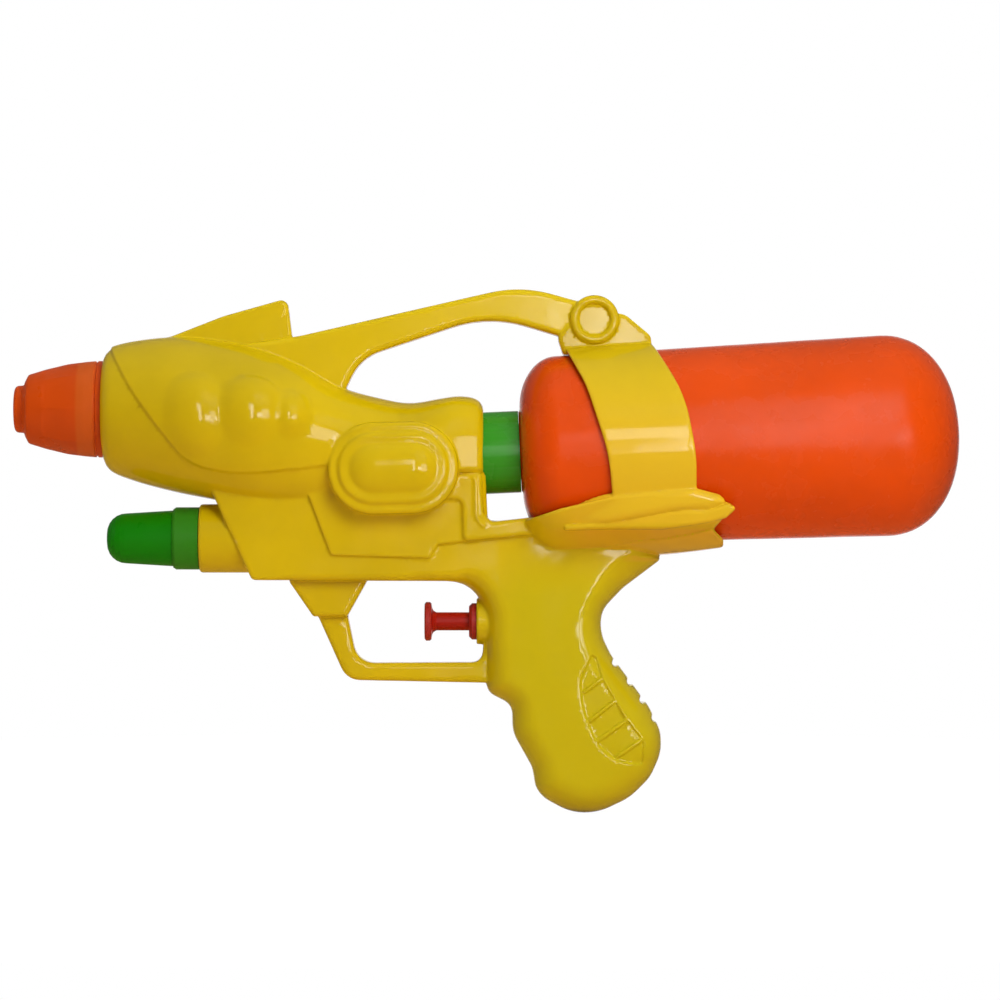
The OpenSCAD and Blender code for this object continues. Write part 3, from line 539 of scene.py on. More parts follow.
def barrel_field():
    """The barrel with its raised flank and bumps."""
    rows = smooth_rows(BARREL_ROWS)
    top, bottom, half = (np.interp(X, rows[:, 0], rows[:, i]).astype(np.float32) for i in (1, 2, 3))
    widest = smooth_rows(WIDEST)
    middle = (top + bottom) / 2 + np.interp(X, widest[:, 0], widest[:, 1]).astype(np.float32)
    rise = np.where(Z > middle, top - middle, middle - bottom)
    power = np.interp(X, [SQUARE_FROM, SQUARE_TO], [2.0, SQUARE_POWER]).astype(np.float32)
    field = ellipse_field(Y / half, (Z - middle) / rise, half, rise, power)
    edge = smooth_rows(FLANK_EDGE)
    flank = outline_field(np.vstack([edge, FLANK_REST]))
    field = field - FLANK_RISE * soft_share(flank, FLANK_STEP)
    for x, z, along, up, top_depth, lean in BUMPS:
        c = math.cos(math.radians(lean))
        s = math.sin(math.radians(lean))
        u = ((X - x) * c + (Z - z) * s) / along
        v = ((Z - z) * c - (X - x) * s) / up
        w = (Y - (top_depth - BUMP_DEPTH)) / BUMP_DEPTH
        k = np.sqrt(u * u + v * v + w * w)
        slope = np.sqrt((u / along) ** 2 + (v / up) ** 2 + (w / BUMP_DEPTH) ** 2)
        field = join(field, k * (k - 1) / np.maximum(slope, TINY), BUMP_BLEND)
    return field


def body_field():
    """The lower body and the grip, with an edge that changes round them."""
    outline = flat(BODY)
    x = X[:, 0]
    z = Z[0]
    total = 0
    sums = [0, 0, 0]
    for px, pz, *sizes in BODY_EDGES:
        weight = 1 / ((x - px) ** 2 + (z - pz) ** 2 + EDGE_NEAR) ** 2
        total = total + weight
        sums = [s + weight * size for s, size in zip(sums, sizes)]
    edge, depth, half = ((s / total)[:, None, :].astype(np.float32) for s in sums)
    field = soft_meet(outline, Y - half, edge, depth)
    face = Y - BODY_HALF - GRIP_FLARE * np.clip(X - GRIP_FLARE_FROM, 0, None)
    return meet(field, face.astype(np.float32), BODY_FACE_EDGE)


def line_reach(lines):
    """Distance in X and Z from the nearest of some lines."""
    reach = None
    for (ax, az), (bx, bz) in lines:
        dx = bx - ax
        dz = bz - az
        t = np.clip(((X - ax) * dx + (Z - az) * dz) / (dx * dx + dz * dz), 0, 1)
        part = np.hypot(X - ax - t * dx, Z - az - t * dz)
        reach = part if reach is None else np.minimum(reach, part)
    return reach


def rib_cells(body):
    """The recessed cells between the ribs on the grip."""
    cells = np.maximum(flat(RIB_PANEL), RIB_R - line_reach(RIBS))
    return meet(cells, -(body + RIB_DEPTH), CELL_FLOOR_EDGE)


def oval_outline():
    """Signed distance to the oval cover's outline."""
    c = math.cos(OVAL_TILT)
    s = math.sin(OVAL_TILT)
    along = (X - OVAL[0]) * c + (Z - OVAL[1]) * s
    up = (Z - OVAL[1]) * c - (X - OVAL[0]) * s
    return np.hypot(np.maximum(np.abs(along) - OVAL_REACH, 0), up).astype(np.float32) - OVAL_R


def bead_field(points, depth, radius):
    """A round bead along a curve at a depth."""
    path = smooth_rows(points)
    reach = line_reach(zip(path, path[1:]))
    return np.hypot(reach, Y - depth).astype(np.float32) - radius


def tank_fields():
    """Distance from the tank's outside, distance from its axis, and place along it."""
    along = (X - TANK_X) * math.cos(TANK_TILT) + (Z - TANK_Z) * math.sin(TANK_TILT)
    across = (Z - TANK_Z) * math.cos(TANK_TILT) - (X - TANK_X) * math.sin(TANK_TILT)
    reach = np.hypot(across, Y)
    grow = (TANK_REAR_R - TANK_FRONT_R) / (TANK_LEN - TANK_DOME - SHOULDER)
    side = reach - TANK_FRONT_R - grow * (along - SHOULDER)
    u = np.maximum(SHOULDER - along, 0) / SHOULDER
    v = np.maximum(reach - SHOULDER_R, 0) / (TANK_FRONT_R - SHOULDER_R)
    front = ellipse_field(u, v, SHOULDER, TANK_FRONT_R - SHOULDER_R)
    field = np.where(along < SHOULDER, front, side).astype(np.float32)
    return field, reach.astype(np.float32), along.astype(np.float32)


def outer_form(barrel, body, oval, handle):
    """The outside of the hollow forms of a half, with what is raised or cut on them."""
    hull = meet(barrel, BARREL_FRONT - X, BARREL_FRONT_EDGE)
    hull = meet(hull, X - BARREL_REAR, BARREL_REAR_EDGE)
    hull = cut(hull, flat(UNDER_FLANK), UNDER_EDGE)
    outside = join(hull, cut(body, rib_cells(body), CELL_RIM_EDGE))
    for x, z in BACK_NOTCHES:
        notch = np.hypot(X - x, Z - z) - NOTCH_R
        outside = cut(outside, notch, NOTCH_EDGE)
    outside = join(outside, plate(handle, HANDLE_HALF, HANDLE_EDGE))
    outside = join(outside, plate(flat(PANEL), BODY_HALF + PANEL_RISE, PANEL_EDGE))
    outside = join(outside, plate(flat(ARM), ARM_HALF, ARM_EDGE))
    outside = join(outside, bead_field(ARM_BEAD, ARM_HALF, ARM_BEAD_R))
    for inset, half, edge, depth, fillet in OVAL_LEVELS:
        step = soft_meet(oval + inset, Y - half, edge, depth)
        outside = join(outside, step, fillet)
    return join(outside, rod_x(TUBE_Z, TUBE_R, TUBE_FRONT, TUBE_REAR, TUBE_EDGE))


def inner_room(barrel, body, oval, handle):
    """The room inside a half."""
    ends = np.maximum(BARREL_FRONT + RIM_DEPTH - X, X - BARREL_REAR + WALL)
    room = np.maximum(barrel + WALL, ends)
    room = np.minimum(room, body + WALL)
    room = np.minimum(room, plate(handle + WALL, HANDLE_HALF - WALL, ROOM_EDGE))
    cover = plate(oval + (WALL + OVAL_SHOULDER), OVAL_LEVELS[0][1] - WALL, ROOM_EDGE)
    room = np.minimum(room, cover)
    return np.minimum(room, rod_x(TUBE_Z, TUBE_BORE_R, TUBE_FRONT + PLUG_DEPTH, TUBE_ROOM_REAR))


def with_plates(shell, tank):
    """A half with the solid forms that stand on it."""
    for outline, half, edge in SOLID_PLATES:
        shell = join(shell, plate(flat(outline), half, edge))
    for outline, thickness, edge in TANK_PLATES:
        around = tank - (TANK_GAP + thickness)
        shell = join(shell, meet(flat(outline), around, edge))
    lip_face = meet(slanted(*LIP_FRONT), slanted(*LIP_FACE), LIP_FOLD)
    shell = join(shell, soft_meet(flat(LIP), lip_face, *LIP_EDGE))
    leaf = meet(flat(LEAF), slanted(*LEAF_FACE), LEAF_EDGE)
    shell = join(shell, leaf, LEAF_FILLET)
    shell = join(shell, lug_field())
    wall, stand, rear, edge = PUMP_RIM
    return join(shell, rod_x(PUMP_Z, PUMP_R + wall, PUMP_MOUTH - stand, rear, edge))


def mouths(reach, along):
    """Holes for the collar, the nozzle, the plug and the pump."""
    rim = BARREL_FRONT + RIM_DEPTH
    collar = np.maximum(COLLAR_FRONT - along, along - PAST)
    flange = np.maximum(FLANGE_FRONT - along, along - FLANGE_REAR)
    return (
        np.maximum(reach - (COLLAR_R + SEAT), collar),
        np.maximum(reach - (COLLAR_R + FLANGE_RISE), flange),
        rod_x(NOZZLE_Z, NOZZLE_R + SEAT, BARREL_FRONT - PAST, rim + NOZZLE_ROOM + PAST),
        rod_x(NOZZLE_Z, NOZZLE_R + NOZZLE_FLANGE, rim - SEAT, rim + NOZZLE_ROOM),
        rod_x(TUBE_Z, TUBE_BORE_R + SEAT, TUBE_FRONT - PAST, TUBE_FRONT + PLUG_DEPTH + PAST),
        rod_x(PUMP_Z, PUMP_R + SEAT, PUMP_MOUTH - PAST, PUMP_MOUTH + PUMP_LEN),
    )


def half_field():
    """One half of the shells without its screw holes."""
    tank, reach, along = tank_fields()
    forms = barrel_field(), body_field(), oval_outline(), flat(HANDLE)
    outside = outer_form(*forms)
    shell = np.maximum(outside, -inner_room(*forms))
    for x, z in SCREWS:
        boss = rod_y(x, z, BOSS_R, GRID_LOW[1] - PAST, GRID_HIGH[1] + PAST)
        shell = np.minimum(shell, np.maximum(outside, boss))
    shell = with_plates(shell, tank)
    shell = cut(shell, tank - TANK_GAP, HOLE_EDGE)
    for hole in mouths(reach, along):
        shell = cut(shell, hole, HOLE_EDGE)
    return shell


def lug_field():
    """The lug above the tank, with its ring and disc."""
    lug = plate(flat(LUG_PLATE), LUG_HALF, LUG_EDGE)
    reach = np.hypot(X - LUG[0], Z - LUG[1])
    disc = np.maximum(reach - DISC_R, Y - DISC_HALF)
    across = reach - RING_R
    above = Y - LUG_HALF
    rim = np.hypot(across, above) - RING_WIRE_R
    side = np.maximum(np.abs(across) - RING_WIRE_R, above)
    return np.minimum(join(lug, disc, DISC_FILLET), np.minimum(rim, side))


def with_screw_holes(shell, wells):
    """The half with the holes of its screws, and with wells for their heads."""
    below = GRID_LOW[1] - PAST
    depth = HOLE_TO_WELL if wells else HOLE_BLIND
    for x, z in SCREWS:
        shell = np.maximum(shell, -rod_y(x, z, SCREW_HOLE_R, below, depth))
        if wells:
            shell = np.maximum(shell, -rod_y(x, z, SCREW_WELL_R, SCREW_SEAT, GRID_HIGH[1] + PAST))
    return meet(shell, SEAM_GAP - Y, SEAM_EDGE)


def sample(values, at):
    """Values of a grid at points given in cells."""
    low = np.clip(np.floor(at).astype(int), 0, np.array(values.shape) - 2)
    part = at - low
    total = 0
    for i in (0, 1):
        for j in (0, 1):
            for k in (0, 1):
                share = np.abs(1 - i - part[:, 0]) * np.abs(1 - j - part[:, 1]) * np.abs(1 - k - part[:, 2])
                total = total + share * values[low[:, 0] + i, low[:, 1] + j, low[:, 2] + k]
    return total


def slope_normals(slopes, at):
    """Unit normals of a field at points given in cells, from its slopes."""
    normals = np.stack([sample(g, at) for g in slopes], 1)
    return normals / np.maximum(np.linalg.norm(normals, axis=1, keepdims=True), NIL)


def polygon_mesh(name, place, corners, starts):
    """A smooth mesh from its points, the corners of its faces, and where each face's corners start."""
    mesh = bpy.data.meshes.new(name)
    mesh.vertices.add(len(place))
    mesh.vertices.foreach_set("co", place.astype(np.float32).ravel())
    mesh.loops.add(len(corners))
    mesh.loops.foreach_set("vertex_index", corners)
    mesh.polygons.add(len(starts))
    mesh.polygons.foreach_set("loop_start", starts)
    mesh.update(calc_edges=True)
    mesh.polygons.foreach_set("use_smooth", np.ones(len(starts), bool))
    return mesh


def face_normals(mesh):
    """The normal of each face of a mesh."""
    normals = np.zeros(len(mesh.polygons) * 3, np.float32)
    mesh.polygons.foreach_get("normal", normals)
    return normals.reshape(-1, 3)


def field_mesh(name, field, side):
    """A mesh of a field's surface with its normals, on the side of the seam given as -1 or 1."""
    grid = openvdb.FloatGrid(BAND * CELL)
    grid.copyFromArray(np.clip(field, -BAND * CELL, BAND * CELL))
    points, triangles, quads = grid.convertToPolygons(0.0, MERGE)
    points = points.astype(float)
    slopes = np.gradient(field)
    normals = slope_normals(slopes, points)
    place = (points * CELL + np.array(GRID_LOW)) * MM
    place[:, 1] *= side
    normals[:, 1] *= side
    corners = np.concatenate([triangles.ravel(), quads.ravel()]).astype(np.int32)
    sizes = np.repeat([3, 4], [len(triangles), len(quads)])
    starts = (np.cumsum(sizes) - sizes).astype(np.int32)
    mesh = polygon_mesh(name, place, corners, starts)
    if (face_normals(mesh) * normals[corners[starts]]).sum() < 0:
        mesh.flip_normals()
    mesh.normals_split_custom_set(corner_normals(mesh, normals, field, slopes, points, side))
    mesh.validate()
    return mesh


def corner_normals(mesh, normals, field, slopes, points, side):
    """The field's normal at each corner of a face, or the face's own where a flat face ends at a curve."""
    count = len(mesh.polygons)
    at = np.zeros(len(mesh.loops), np.int32)
    mesh.loops.foreach_get("vertex_index", at)
    own = face_normals(mesh)
    starts = np.zeros(count, np.int32)
    mesh.polygons.foreach_get("loop_start", starts)
    sizes = np.zeros(count, np.int32)
    mesh.polygons.foreach_get("loop_total", sizes)
    middle = np.add.reduceat(points[at], starts) / sizes[:, None]
    facing = slope_normals(slopes, middle)[:, 1] * side
    parallel = np.abs(facing) > math.cos(math.radians(SEAM_TURN))
    own[parallel] = np.stack([0 * facing, np.sign(facing), 0 * facing], 1)[parallel]
    own = np.repeat(own, sizes, 0)
    corner = normals[at]
    turn = np.degrees(np.arccos(np.clip((corner * own).sum(1), -1, 1)))
    level = parallel | (np.abs(sample(field, middle)) < FLAT_WITHIN)
    flat_face = level & (np.maximum.reduceat(turn, starts) > FLAT_TURN)
    return np.where(np.repeat(flat_face, sizes)[:, None], own, corner)


def axis_and_up(tilt):
    """The direction of an axis that rises by tilt along X, and the one across it."""
    axis = np.array([math.cos(tilt), 0, math.sin(tilt)])
    up = np.array([-math.sin(tilt), 0, math.cos(tilt)])
    return axis, up


def skin(built, loops):
    """Faces between each loop of points and the next."""
    for loop, following in zip(loops, loops[1:]):
        for i in range(len(loop)):
            j = (i + 1) % len(loop)
            built.faces.new((loop[i], loop[j], following[j], following[i]))


def turned_mesh(name, section, origin, tilt, sides, radius_at=None):
    """A mesh turned from a closed section of radius and length, about an axis that rises by tilt."""
    axis, up = axis_and_up(tilt)
    built = bmesh.new()
    rings = []
    for k in range(sides):
        angle = 2 * math.pi * k / sides
        out = up * math.cos(angle) + np.array([0, math.sin(angle), 0])
        ring = []
        for radius, place in section:
            reach = radius if radius_at is None else radius_at(radius, place, angle)
            ring.append(built.verts.new((np.array(origin) + axis * place + out * reach) * MM))
        rings.append(ring)
    skin(built, rings + rings[:1])
    bmesh.ops.remove_doubles(built, verts=built.verts, dist=SAME_POINT)
    return finished_mesh(name, built)


def finished_mesh(name, built):
    """A smooth mesh with its faces outward and its sharp corners kept."""
    bmesh.ops.dissolve_degenerate(built, edges=built.edges, dist=SAME_POINT)
    bmesh.ops.recalc_face_normals(built, faces=built.faces)
    mesh = bpy.data.meshes.new(name)
    built.to_mesh(mesh)
    built.free()
    mesh.polygons.foreach_set("use_smooth", np.ones(len(mesh.polygons), bool))
    mesh.set_sharp_from_angle(angle=SHARP_FROM)
    return mesh


def tank_section(inset, steps=22):
    """The tank's outline from its shoulder face to its rear end, moved inward."""
    turn = np.linspace(0, math.pi / 2, steps)
    front = np.stack([
        SHOULDER_R + (TANK_FRONT_R - SHOULDER_R) * np.sin(turn) - inset,
        SHOULDER * (1 - np.cos(turn)) + inset,
    ], 1)
    round_end = np.maximum(np.cos(turn), 0) ** DOME_POWER
    rear = np.stack([
        (TANK_REAR_R - inset) * round_end,
        TANK_LEN - TANK_DOME + (TANK_DOME - inset) * np.sin(turn) ** DOME_POWER,
    ], 1)
    return np.vstack([front, rear])


def tank_mesh(name):
    """The blown tank with its wall, its neck and the neck's thread."""
    bore = NECK_R - NECK_WALL
    neck = [(bore, -NECK_LEN), (NECK_R, -NECK_LEN), (NECK_R, -SHOULDER_FACE)]
    section = np.vstack([
        neck, SHOULDER_CORNER, tank_section(0), tank_section(TANK_WALL)[::-1], [(bore, TANK_WALL)],
    ])
    origin = (TANK_X, 0, TANK_Z)
    mesh = turned_mesh(name, section, origin, TANK_TILT, TANK_SIDES)
    built = bmesh.new()
    built.from_mesh(mesh)
    add_thread(built, origin)
    bpy.data.meshes.remove(mesh)
    return finished_mesh(name, built)


def add_thread(built, origin):
    """The ridge that winds round the tank's neck."""
    axis, up = axis_and_up(TANK_TILT)
    steps = round(THREAD_TURNS * THREAD_STEPS)
    start = THREAD_START - NECK_LEN
    root = NECK_R - THREAD_SINK
    loops = []
    for k in range(steps + 1):
        angle = 2 * math.pi * THREAD_TURNS * k / steps
        place = start + THREAD_PITCH * THREAD_TURNS * k / steps
        ends = THREAD_FIRST + k / THREAD_RUNOUT, THREAD_FIRST + (steps - k) / THREAD_RUNOUT
        tip = NECK_R + THREAD_H * min(1, *ends)
        out = np.array([0, math.sin(angle), 0]) - up * math.cos(angle)
        ridge = (root, -THREAD_FOOT), (tip, -THREAD_CREST), (tip, THREAD_CREST), (root, THREAD_FOOT)
        loops.append([
            built.verts.new((np.array(origin) + axis * (place + shift) + out * radius) * MM)
            for radius, shift in ridge
        ])
    skin(built, loops)
    built.faces.new(loops[0])
    built.faces.new(loops[-1][::-1])


def nozzle_radius(radius, place, angle):
    """The nozzle's radius with its shallow flats, which are on the outside only."""
    if radius < np.interp(place, (FLAT_FROM[0], FLAT_TO[1]), FLAT_INSIDE_R):
        return radius
    share = np.interp(place, FLAT_FROM + FLAT_TO, (0, 1, 1, 0))
    step = 2 * math.pi / FLATS
    off = (angle % step) - step / 2
    dip = (1 - math.cos(step / 2) / math.cos(off)) / (1 - math.cos(step / 2))
    return radius - share * FLAT_DEPTH * dip


def nozzle_mesh(name):
    """The nozzle with its lip, shallow flats, groove and flange."""
    outer = rounded(NOZZLE_SECTION)
    return turned_mesh(name, outer, (MUZZLE_X, 0, NOZZLE_Z), 0.0, NOZZLE_SIDES, nozzle_radius)


def spring_mesh(name):
    """The return spring as one wound wire, in the place of its CAD node."""
    low, high = (np.array(corner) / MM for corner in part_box("return_spring"))
    first = low[0] + SPRING_WIRE_R
    last = high[0] - SPRING_WIRE_R
    steps = SPRING_TURNS * SPRING_STEPS
    built = bmesh.new()
    loops = []
    for k in range(steps + 1):
        turn = 2 * math.pi * SPRING_TURNS * k / steps
        out = np.array([0, math.cos(turn), math.sin(turn)])
        middle = np.array([first + (last - first) * k / steps, 0, PUMP_Z]) + out * SPRING_R
        loop = []
        for i in range(WIRE_SIDES):
            angle = 2 * math.pi * i / WIRE_SIDES
            side = out * math.cos(angle) + np.array([math.sin(angle), 0, 0])
            loop.append(built.verts.new((middle + side * SPRING_WIRE_R) * MM))
        loops.append(loop)
    skin(built, loops)
    built.faces.new(loops[0][::-1])
    built.faces.new(loops[-1])
    return finished_mesh(name, built)


def add_piece(name, mesh, body, slot, material, *replaced):
    """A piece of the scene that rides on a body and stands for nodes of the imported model."""
    piece = bpy.data.objects.new(name, mesh)
    bpy.context.scene.collection.objects.link(piece)
    mesh.materials.append(material)
    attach(piece, body)
    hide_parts(*replaced)
    return piece


def linear(red, green, blue):
    """Scene colour of a screen colour given in 0 to 255, by the sRGB curve."""
    scene = [c / 255 / 12.92 if c <= 10 else ((c / 255 + 0.055) / 1.055) ** 2.4 for c in (red, green, blue)]
    return (*scene, 1.0)


def scaled(colour, share):
    """A colour made darker or lighter."""
    return (*(min(c * share, 1) for c in colour[:3]), 1.0)


def mixed(a, b, share):
    """A colour between two."""
    return tuple(x + (y - x) * share for x, y in zip(a, b))


def noise(tree, place, scale, detail):
    """A noise in the object's own space."""
    node = tree.nodes.new("ShaderNodeTexNoise")
    node.inputs["Scale"].default_value = scale
    node.inputs["Detail"].default_value = detail
    tree.links.new(place, node.inputs["Vector"])
    return node.outputs["Fac"]


def ramp(tree, value, stops):
    """A colour ramp over a value."""
    node = tree.nodes.new("ShaderNodeValToRGB")
    ends = node.color_ramp.elements
    for element, (at, colour) in zip(ends, stops):
        element.position = at
        element.color = colour
    for at, colour in stops[2:]:
        element = ends.new(at)
        element.color = colour
    tree.links.new(value, node.inputs["Fac"])
    return node.outputs["Color"]


def bump(tree, height, strength, distance, before=None):
    """A bump over a height, on top of another bump."""
    node = tree.nodes.new("ShaderNodeBump")
    node.inputs["Strength"].default_value = strength
    node.inputs["Distance"].default_value = distance
    tree.links.new(height, node.inputs["Height"])
    if before is not None:
        tree.links.new(before, node.inputs["Normal"])
    return node.outputs["Normal"]


def separated(tree, vector):
    """The X, Y and Z parts of a vector."""
    node = tree.nodes.new("ShaderNodeSeparateXYZ")
    tree.links.new(vector, node.inputs["Vector"])
    return node.outputs


def span_share(tree, value, start, end, most=1.0):
    """0 at the start of a span of values, rising to most at its end."""
    node = tree.nodes.new("ShaderNodeMapRange")
    node.inputs["From Min"].default_value = start
    node.inputs["From Max"].default_value = end
    node.inputs["To Max"].default_value = most
    tree.links.new(value, node.inputs["Value"])
    return node.outputs["Result"]


def combined(tree, operation, *values, clamp=False):
    """The result of an operation on values."""
    node = tree.nodes.new("ShaderNodeMath")
    node.operation = operation
    node.use_clamp = clamp
    for value, socket in zip(values, node.inputs):
        tree.links.new(value, socket)
    return node.outputs["Value"]


def mix_colour(tree, share, before, colour):
    """A colour with a share of another in it."""
    node = tree.nodes.new("ShaderNodeMix")
    node.data_type = "RGBA"
    node.inputs["B"].default_value = colour
    tree.links.new(share, node.inputs["Factor"])
    tree.links.new(before, node.inputs["A"])
    return node.outputs["Result"]


def mix_shaders(tree, share, a, b):
    """Shader a with a share of shader b in it."""
    node = tree.nodes.new("ShaderNodeMixShader")
    tree.links.new(share, node.inputs["Fac"])
    tree.links.new(a, node.inputs[1])
    tree.links.new(b, node.inputs[2])
    return node.outputs["Shader"]


def grey(value):
    """A colour of equal parts."""
    return (value, value, value, 1)


def plastic(name, colour, roughness, wave, grain, wear, specular=0.5):
    """Moulded plastic: uneven tone, handled gloss, slight sink waves, a fine grain and rubbed edges."""
    material = bpy.data.materials.new(name)
    material.use_nodes = True
    tree = material.node_tree
    shader = tree.nodes["Principled BSDF"]
    shader.inputs["Specular IOR Level"].default_value = specular
    place = tree.nodes.new("ShaderNodeTexCoord").outputs["Object"]
    tones = [scaled(colour, share) for share in TONE_RANGE]
    tone = ramp(tree, noise(tree, place, *TONE_NOISE), list(zip(TONE_STOPS, tones)))
    edges = tree.nodes.new("ShaderNodeNewGeometry").outputs["Pointiness"]
    rubbed = ramp(tree, edges, list(zip(EDGE_STOPS, (grey(0), grey(wear)))))
    worn = mix_colour(tree, rubbed, tone, mixed(colour, WHITE, RUBBED_PALE))
    tree.links.new(worn, shader.inputs["Base Color"])
    levels = [grey(roughness * share) for share in GLOSS_RANGE]
    gloss = ramp(tree, noise(tree, place, *GLOSS_NOISE), list(zip(GLOSS_STOPS, levels)))
    tree.links.new(gloss, shader.inputs["Roughness"])
    waves = bump(tree, noise(tree, place, *WAVE_NOISE), wave, WAVE_HEIGHT)
    fine = bump(tree, noise(tree, place, *GRAIN_NOISE), grain, GRAIN_HEIGHT, waves)
    tree.links.new(fine, shader.inputs["Normal"])
    return material


def tinted(material, colour, spans):
    """Mixes in another colour where every span holds: a source, an axis, its start, end and share."""
    tree = material.node_tree
    base = tree.nodes["Principled BSDF"].inputs["Base Color"]
    sources = {
        "place": separated(tree, tree.nodes.new("ShaderNodeTexCoord").outputs["Object"]),
        "facing": separated(tree, tree.nodes.new("ShaderNodeNewGeometry").outputs["Normal"]),
    }
    share = None
    for source, axis, start, end, most in spans:
        part = span_share(tree, sources[source][axis], start, end, most)
        share = part if share is None else combined(tree, "MULTIPLY", share, part)
    tree.links.new(mix_colour(tree, share, base.links[0].from_socket, colour), base)


def clear_tube(name, colour):
    """Soft clear hose with a slightly milky look."""
    material = plastic(name, colour, 0.2, 0.1, 0.05, 0.1)
    material.node_tree.nodes["Principled BSDF"].inputs["Transmission Weight"].default_value = HOSE_CLEAR
    return material


def steel(name):
    """Plated steel with fine scratches in its gloss."""
    material = plastic(name, linear(186, 187, 190), 0.3, 0.05, 0.1, 0.2)
    material.node_tree.nodes["Principled BSDF"].inputs["Metallic"].default_value = 1.0
    return material


# Each plastic has a colour, a roughness, its waves, grain and wear, and a strength of gloss
YELLOW = plastic("shell_yellow", linear(217, 186, 6), 0.09, 0.12, 0.05, 0.3, 0.5)
# Painted shade on the cradle's underside: where it faces down it is painted a warmer orange, standing in for
# the shade and the warm light bounced onto it from below
tinted(YELLOW, linear(240, 165, 62), [
    ("place", "X", 0.016, 0.034, 0.5), ("place", "Z", 0.0975, 0.096, 1), ("place", "Z", 0.085, 0.086, 1),
    ("facing", "Z", -0.3, -0.6, 1),
])
# The grip is a little greener than the barrel
tinted(YELLOW, linear(202, 188, 14), [("place", "X", -0.01, 0.012, 0.8), ("place", "Z", 0.096, 0.074, 1)])
# The strap and the lip are painted a little paler, as painted light and sheen where they catch more light
tinted(YELLOW, linear(232, 191, 36), [
    ("place", "X", 0.016, 0.03, 1), ("place", "Z", 0.096, 0.099, 1), ("place", "Z", 0.16, 0.125, 1),
])
# The handle and the fin, which lie close to the seam high up, are painted paler too, as painted light on the
# upper parts
tinted(YELLOW, linear(233, 202, 16), [
    ("place", "Z", 0.135, 0.15, 0.6), ("place", "Y", -0.0066, -0.0062, 1), ("place", "Y", 0.0066, 0.0062, 1),
])
TANK_ORANGE = plastic("tank_orange", linear(226, 75, 2), 0.27, 0.2, 0.12, 0.2, 0.24)
NOZZLE_ORANGE = plastic("nozzle_orange", linear(212, 75, 5), 0.36, 0.2, 0.2, 0.35, 0.2)
tinted(NOZZLE_ORANGE, linear(216, 98, 28), [
    ("place", "X", -0.1391, -0.1381, 0.7), ("place", "X", -0.132, -0.1326, 1),
])
GREEN = plastic("green_plastic", linear(19, 130, 4), 0.34, 0.2, 0.1, 0.3, 0.14)
tinted(GREEN, linear(56, 136, 26), [("place", "X", -0.1069, -0.1059, 0.8)])
COLLAR_GREEN = plastic("collar_green", linear(49, 148, 23), 0.24, 0.2, 0.15, 0.3, 0.32)
RED = plastic("red_plastic", linear(167, 26, 12), 0.26, 0.2, 0.1, 0.3, 0.2)
NATURAL = plastic("natural_plastic", linear(226, 226, 216), 0.35, 0.15, 0.1, 0.2)
RUBBER = plastic("rubber", linear(38, 38, 38), 0.6, 0.2, 0.3, 0.2)
CLEAR = clear_tube("clear_tube", linear(205, 219, 224))
STEEL = steel("steel")

NODE_MATERIALS = {
    "shell_screws": STEEL, "jet_spout": NATURAL, "muzzle_plug": GREEN, "tank_collar": COLLAR_GREEN,
    "neck_gasket": RUBBER, "dip_tube": CLEAR, "suction_hose": CLEAR, "delivery_hose": CLEAR,
    "pump_cylinder": NATURAL, "gland": RED, "rod_seal": RUBBER, "trigger": RED, "piston_seal": RUBBER,
    "inlet_cap": NATURAL, "inlet_ball": STEEL, "outlet_elbow": NATURAL, "outlet_ball": STEEL,
}


def dress_nodes():
    """Gives each node that no piece stands for its material."""
    for name, material in NODE_MATERIALS.items():
        mesh = nodes[name].data
        mesh.materials.clear()
        mesh.materials.append(material)


def add_camera():
    """The photograph's view: level, along +Y."""
    camera = bpy.data.cameras.new("camera")
    camera.sensor_width = SENSOR
    camera.lens = SENSOR * VIEW_BACK / VIEW_WIDTH
    camera.clip_end = VIEW_END * MM
    holder = bpy.data.objects.new("camera", camera)
    holder.location = (VIEW_MIDDLE[0] * MM, -VIEW_BACK * MM, VIEW_MIDDLE[1] * MM)
    holder.rotation_euler = (math.pi / 2, 0, 0)
    bpy.context.scene.collection.objects.link(holder)
    bpy.context.scene.camera = holder


def add_light(name, place, target, width, height, radiance, mirrored):
    """A rectangular lamp aimed at a point, either for gloss or for matt light."""
    lamp = bpy.data.lights.new(name, "AREA")
    lamp.shape = "RECTANGLE"
    lamp.size = width
    lamp.size_y = height
    lamp.energy = radiance * math.pi * width * height
    holder = bpy.data.objects.new(name, lamp)
    holder.visible_camera = False
    holder.visible_glossy = mirrored
    holder.visible_diffuse = not mirrored
    holder.location = place
    aim = Vector(target) - Vector(place)
    holder.rotation_euler = aim.to_track_quat("-Z", "Y").to_euler()
    bpy.context.scene.collection.objects.link(holder)


def add_world():
    """White for the camera and behind the object, and a dim room with a paler ceiling for the light."""
    world = bpy.data.worlds.new("room")
    bpy.context.scene.world = world
    world.use_nodes = True
    tree = world.node_tree
    tree.nodes.clear()
    facing = separated(tree, tree.nodes.new("ShaderNodeTexCoord").outputs["Generated"])
    behind = span_share(tree, facing["Y"], *BEHIND)
    height = span_share(tree, facing["Z"], -1, 1)
    room = tree.nodes.new("ShaderNodeBackground")
    sky = ramp(tree, height, [(0.0, ROOM_BELOW), (1.0, ROOM_ABOVE), (0.5, ROOM_LEVEL)])
    tree.links.new(sky, room.inputs["Color"])
    white = tree.nodes.new("ShaderNodeBackground")
    white.inputs["Color"].default_value = WHITE
    ray = tree.nodes.new("ShaderNodeLightPath").outputs
    seen = combined(tree, "MAXIMUM", ray["Is Camera Ray"], ray["Is Transmission Ray"])
    share = combined(tree, "MULTIPLY_ADD", ray["Is Glossy Ray"], behind, seen, clamp=True)
    sides = mix_shaders(tree, share, room.outputs["Background"], white.outputs["Background"])
    out = tree.nodes.new("ShaderNodeOutputWorld")
    tree.links.new(sides, out.inputs["Surface"])


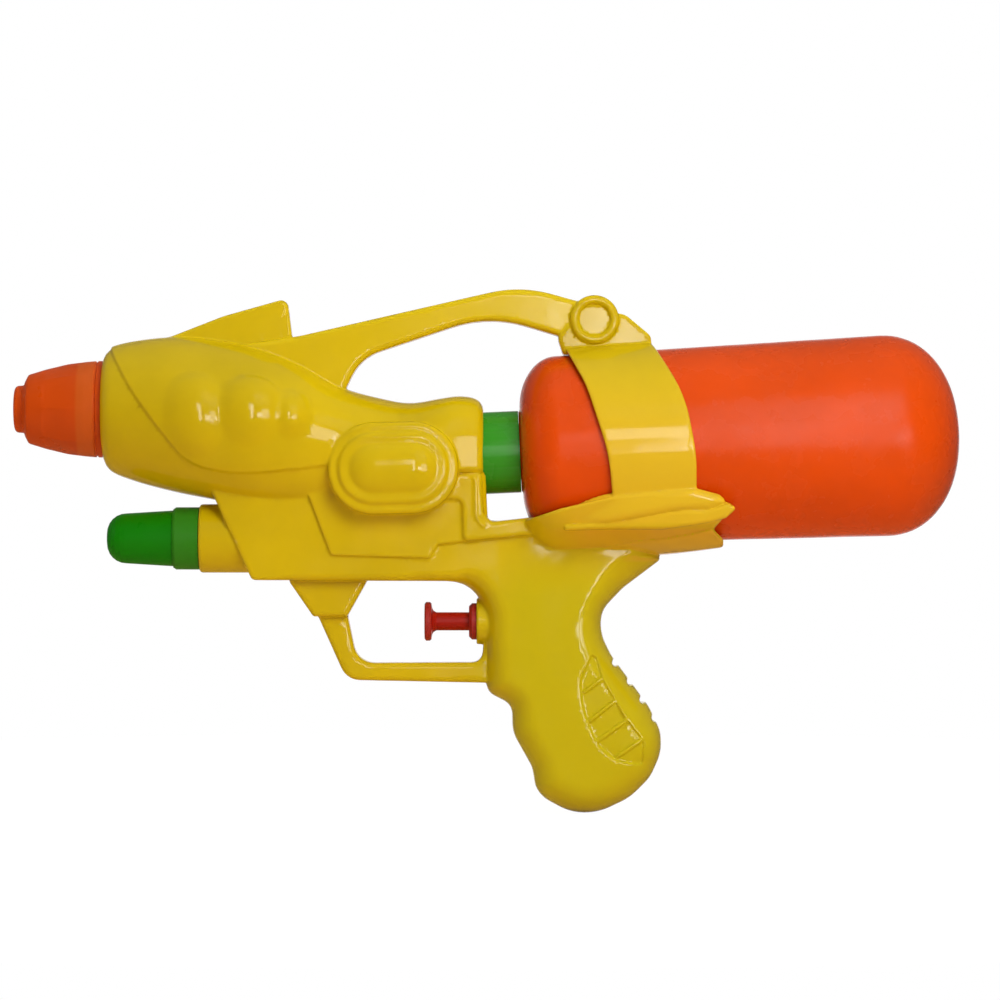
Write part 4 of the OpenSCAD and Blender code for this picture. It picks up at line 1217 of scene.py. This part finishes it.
def floor_material():
    """Pale and matt for the light, and nearly white for the camera."""
    material = bpy.data.materials.new("pale_floor")
    material.use_nodes = True
    tree = material.node_tree
    tree.nodes.clear()
    matt = tree.nodes.new("ShaderNodeBsdfDiffuse")
    matt.inputs["Color"].default_value = FLOOR_COLOUR
    white = tree.nodes.new("ShaderNodeEmission")
    white.inputs["Strength"].default_value = FLOOR_WHITE
    ray = tree.nodes.new("ShaderNodeLightPath").outputs
    share = span_share(tree, ray["Is Camera Ray"], 0, 1, FLOOR_WHITE_SHARE)
    both = mix_shaders(tree, share, matt.outputs["BSDF"], white.outputs["Emission"])
    out = tree.nodes.new("ShaderNodeOutputMaterial")
    tree.links.new(both, out.inputs["Surface"])
    return material


def add_floor():
    """A floor that the camera sees as white, with a faint shadow."""
    mesh = bpy.data.meshes.new("floor")
    turns = [2 * math.pi * k / FLOOR_SIDES for k in range(FLOOR_SIDES)]
    corners = [(FLOOR_R * math.cos(a), FLOOR_R * math.sin(a), 0) for a in turns]
    mesh.from_pydata(corners, [], [list(range(len(corners)))])
    mesh.materials.append(floor_material())
    floor = bpy.data.objects.new("floor", mesh)
    bpy.context.scene.collection.objects.link(floor)
    floor.visible_glossy = False


bpy.context.scene.view_settings.view_transform = "Standard"
add_camera()
add_world()
add_floor()
for lamp_row in LAMPS:
    add_light(*lamp_row)
dress_nodes()
plain_half = half_field()
add_piece(
    "left_shell_form", field_mesh("left_shell_form", with_screw_holes(plain_half, False), -1),
    "gun", "shell_yellow", YELLOW, "left_shell",
)
add_piece(
    "right_shell_form", field_mesh("right_shell_form", with_screw_holes(plain_half, True), 1),
    "gun", "shell_yellow", YELLOW, "right_shell",
)
add_piece("tank_form", tank_mesh("tank_form"), "tank", "tank_orange", TANK_ORANGE, "tank")
add_piece("nozzle_form", nozzle_mesh("nozzle_form"), "gun", "nozzle_orange", NOZZLE_ORANGE, "nozzle")
spring = add_piece(
    "return_spring_form", spring_mesh("return_spring_form"), "gun", "steel", STEEL, "return_spring",
)
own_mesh(spring)
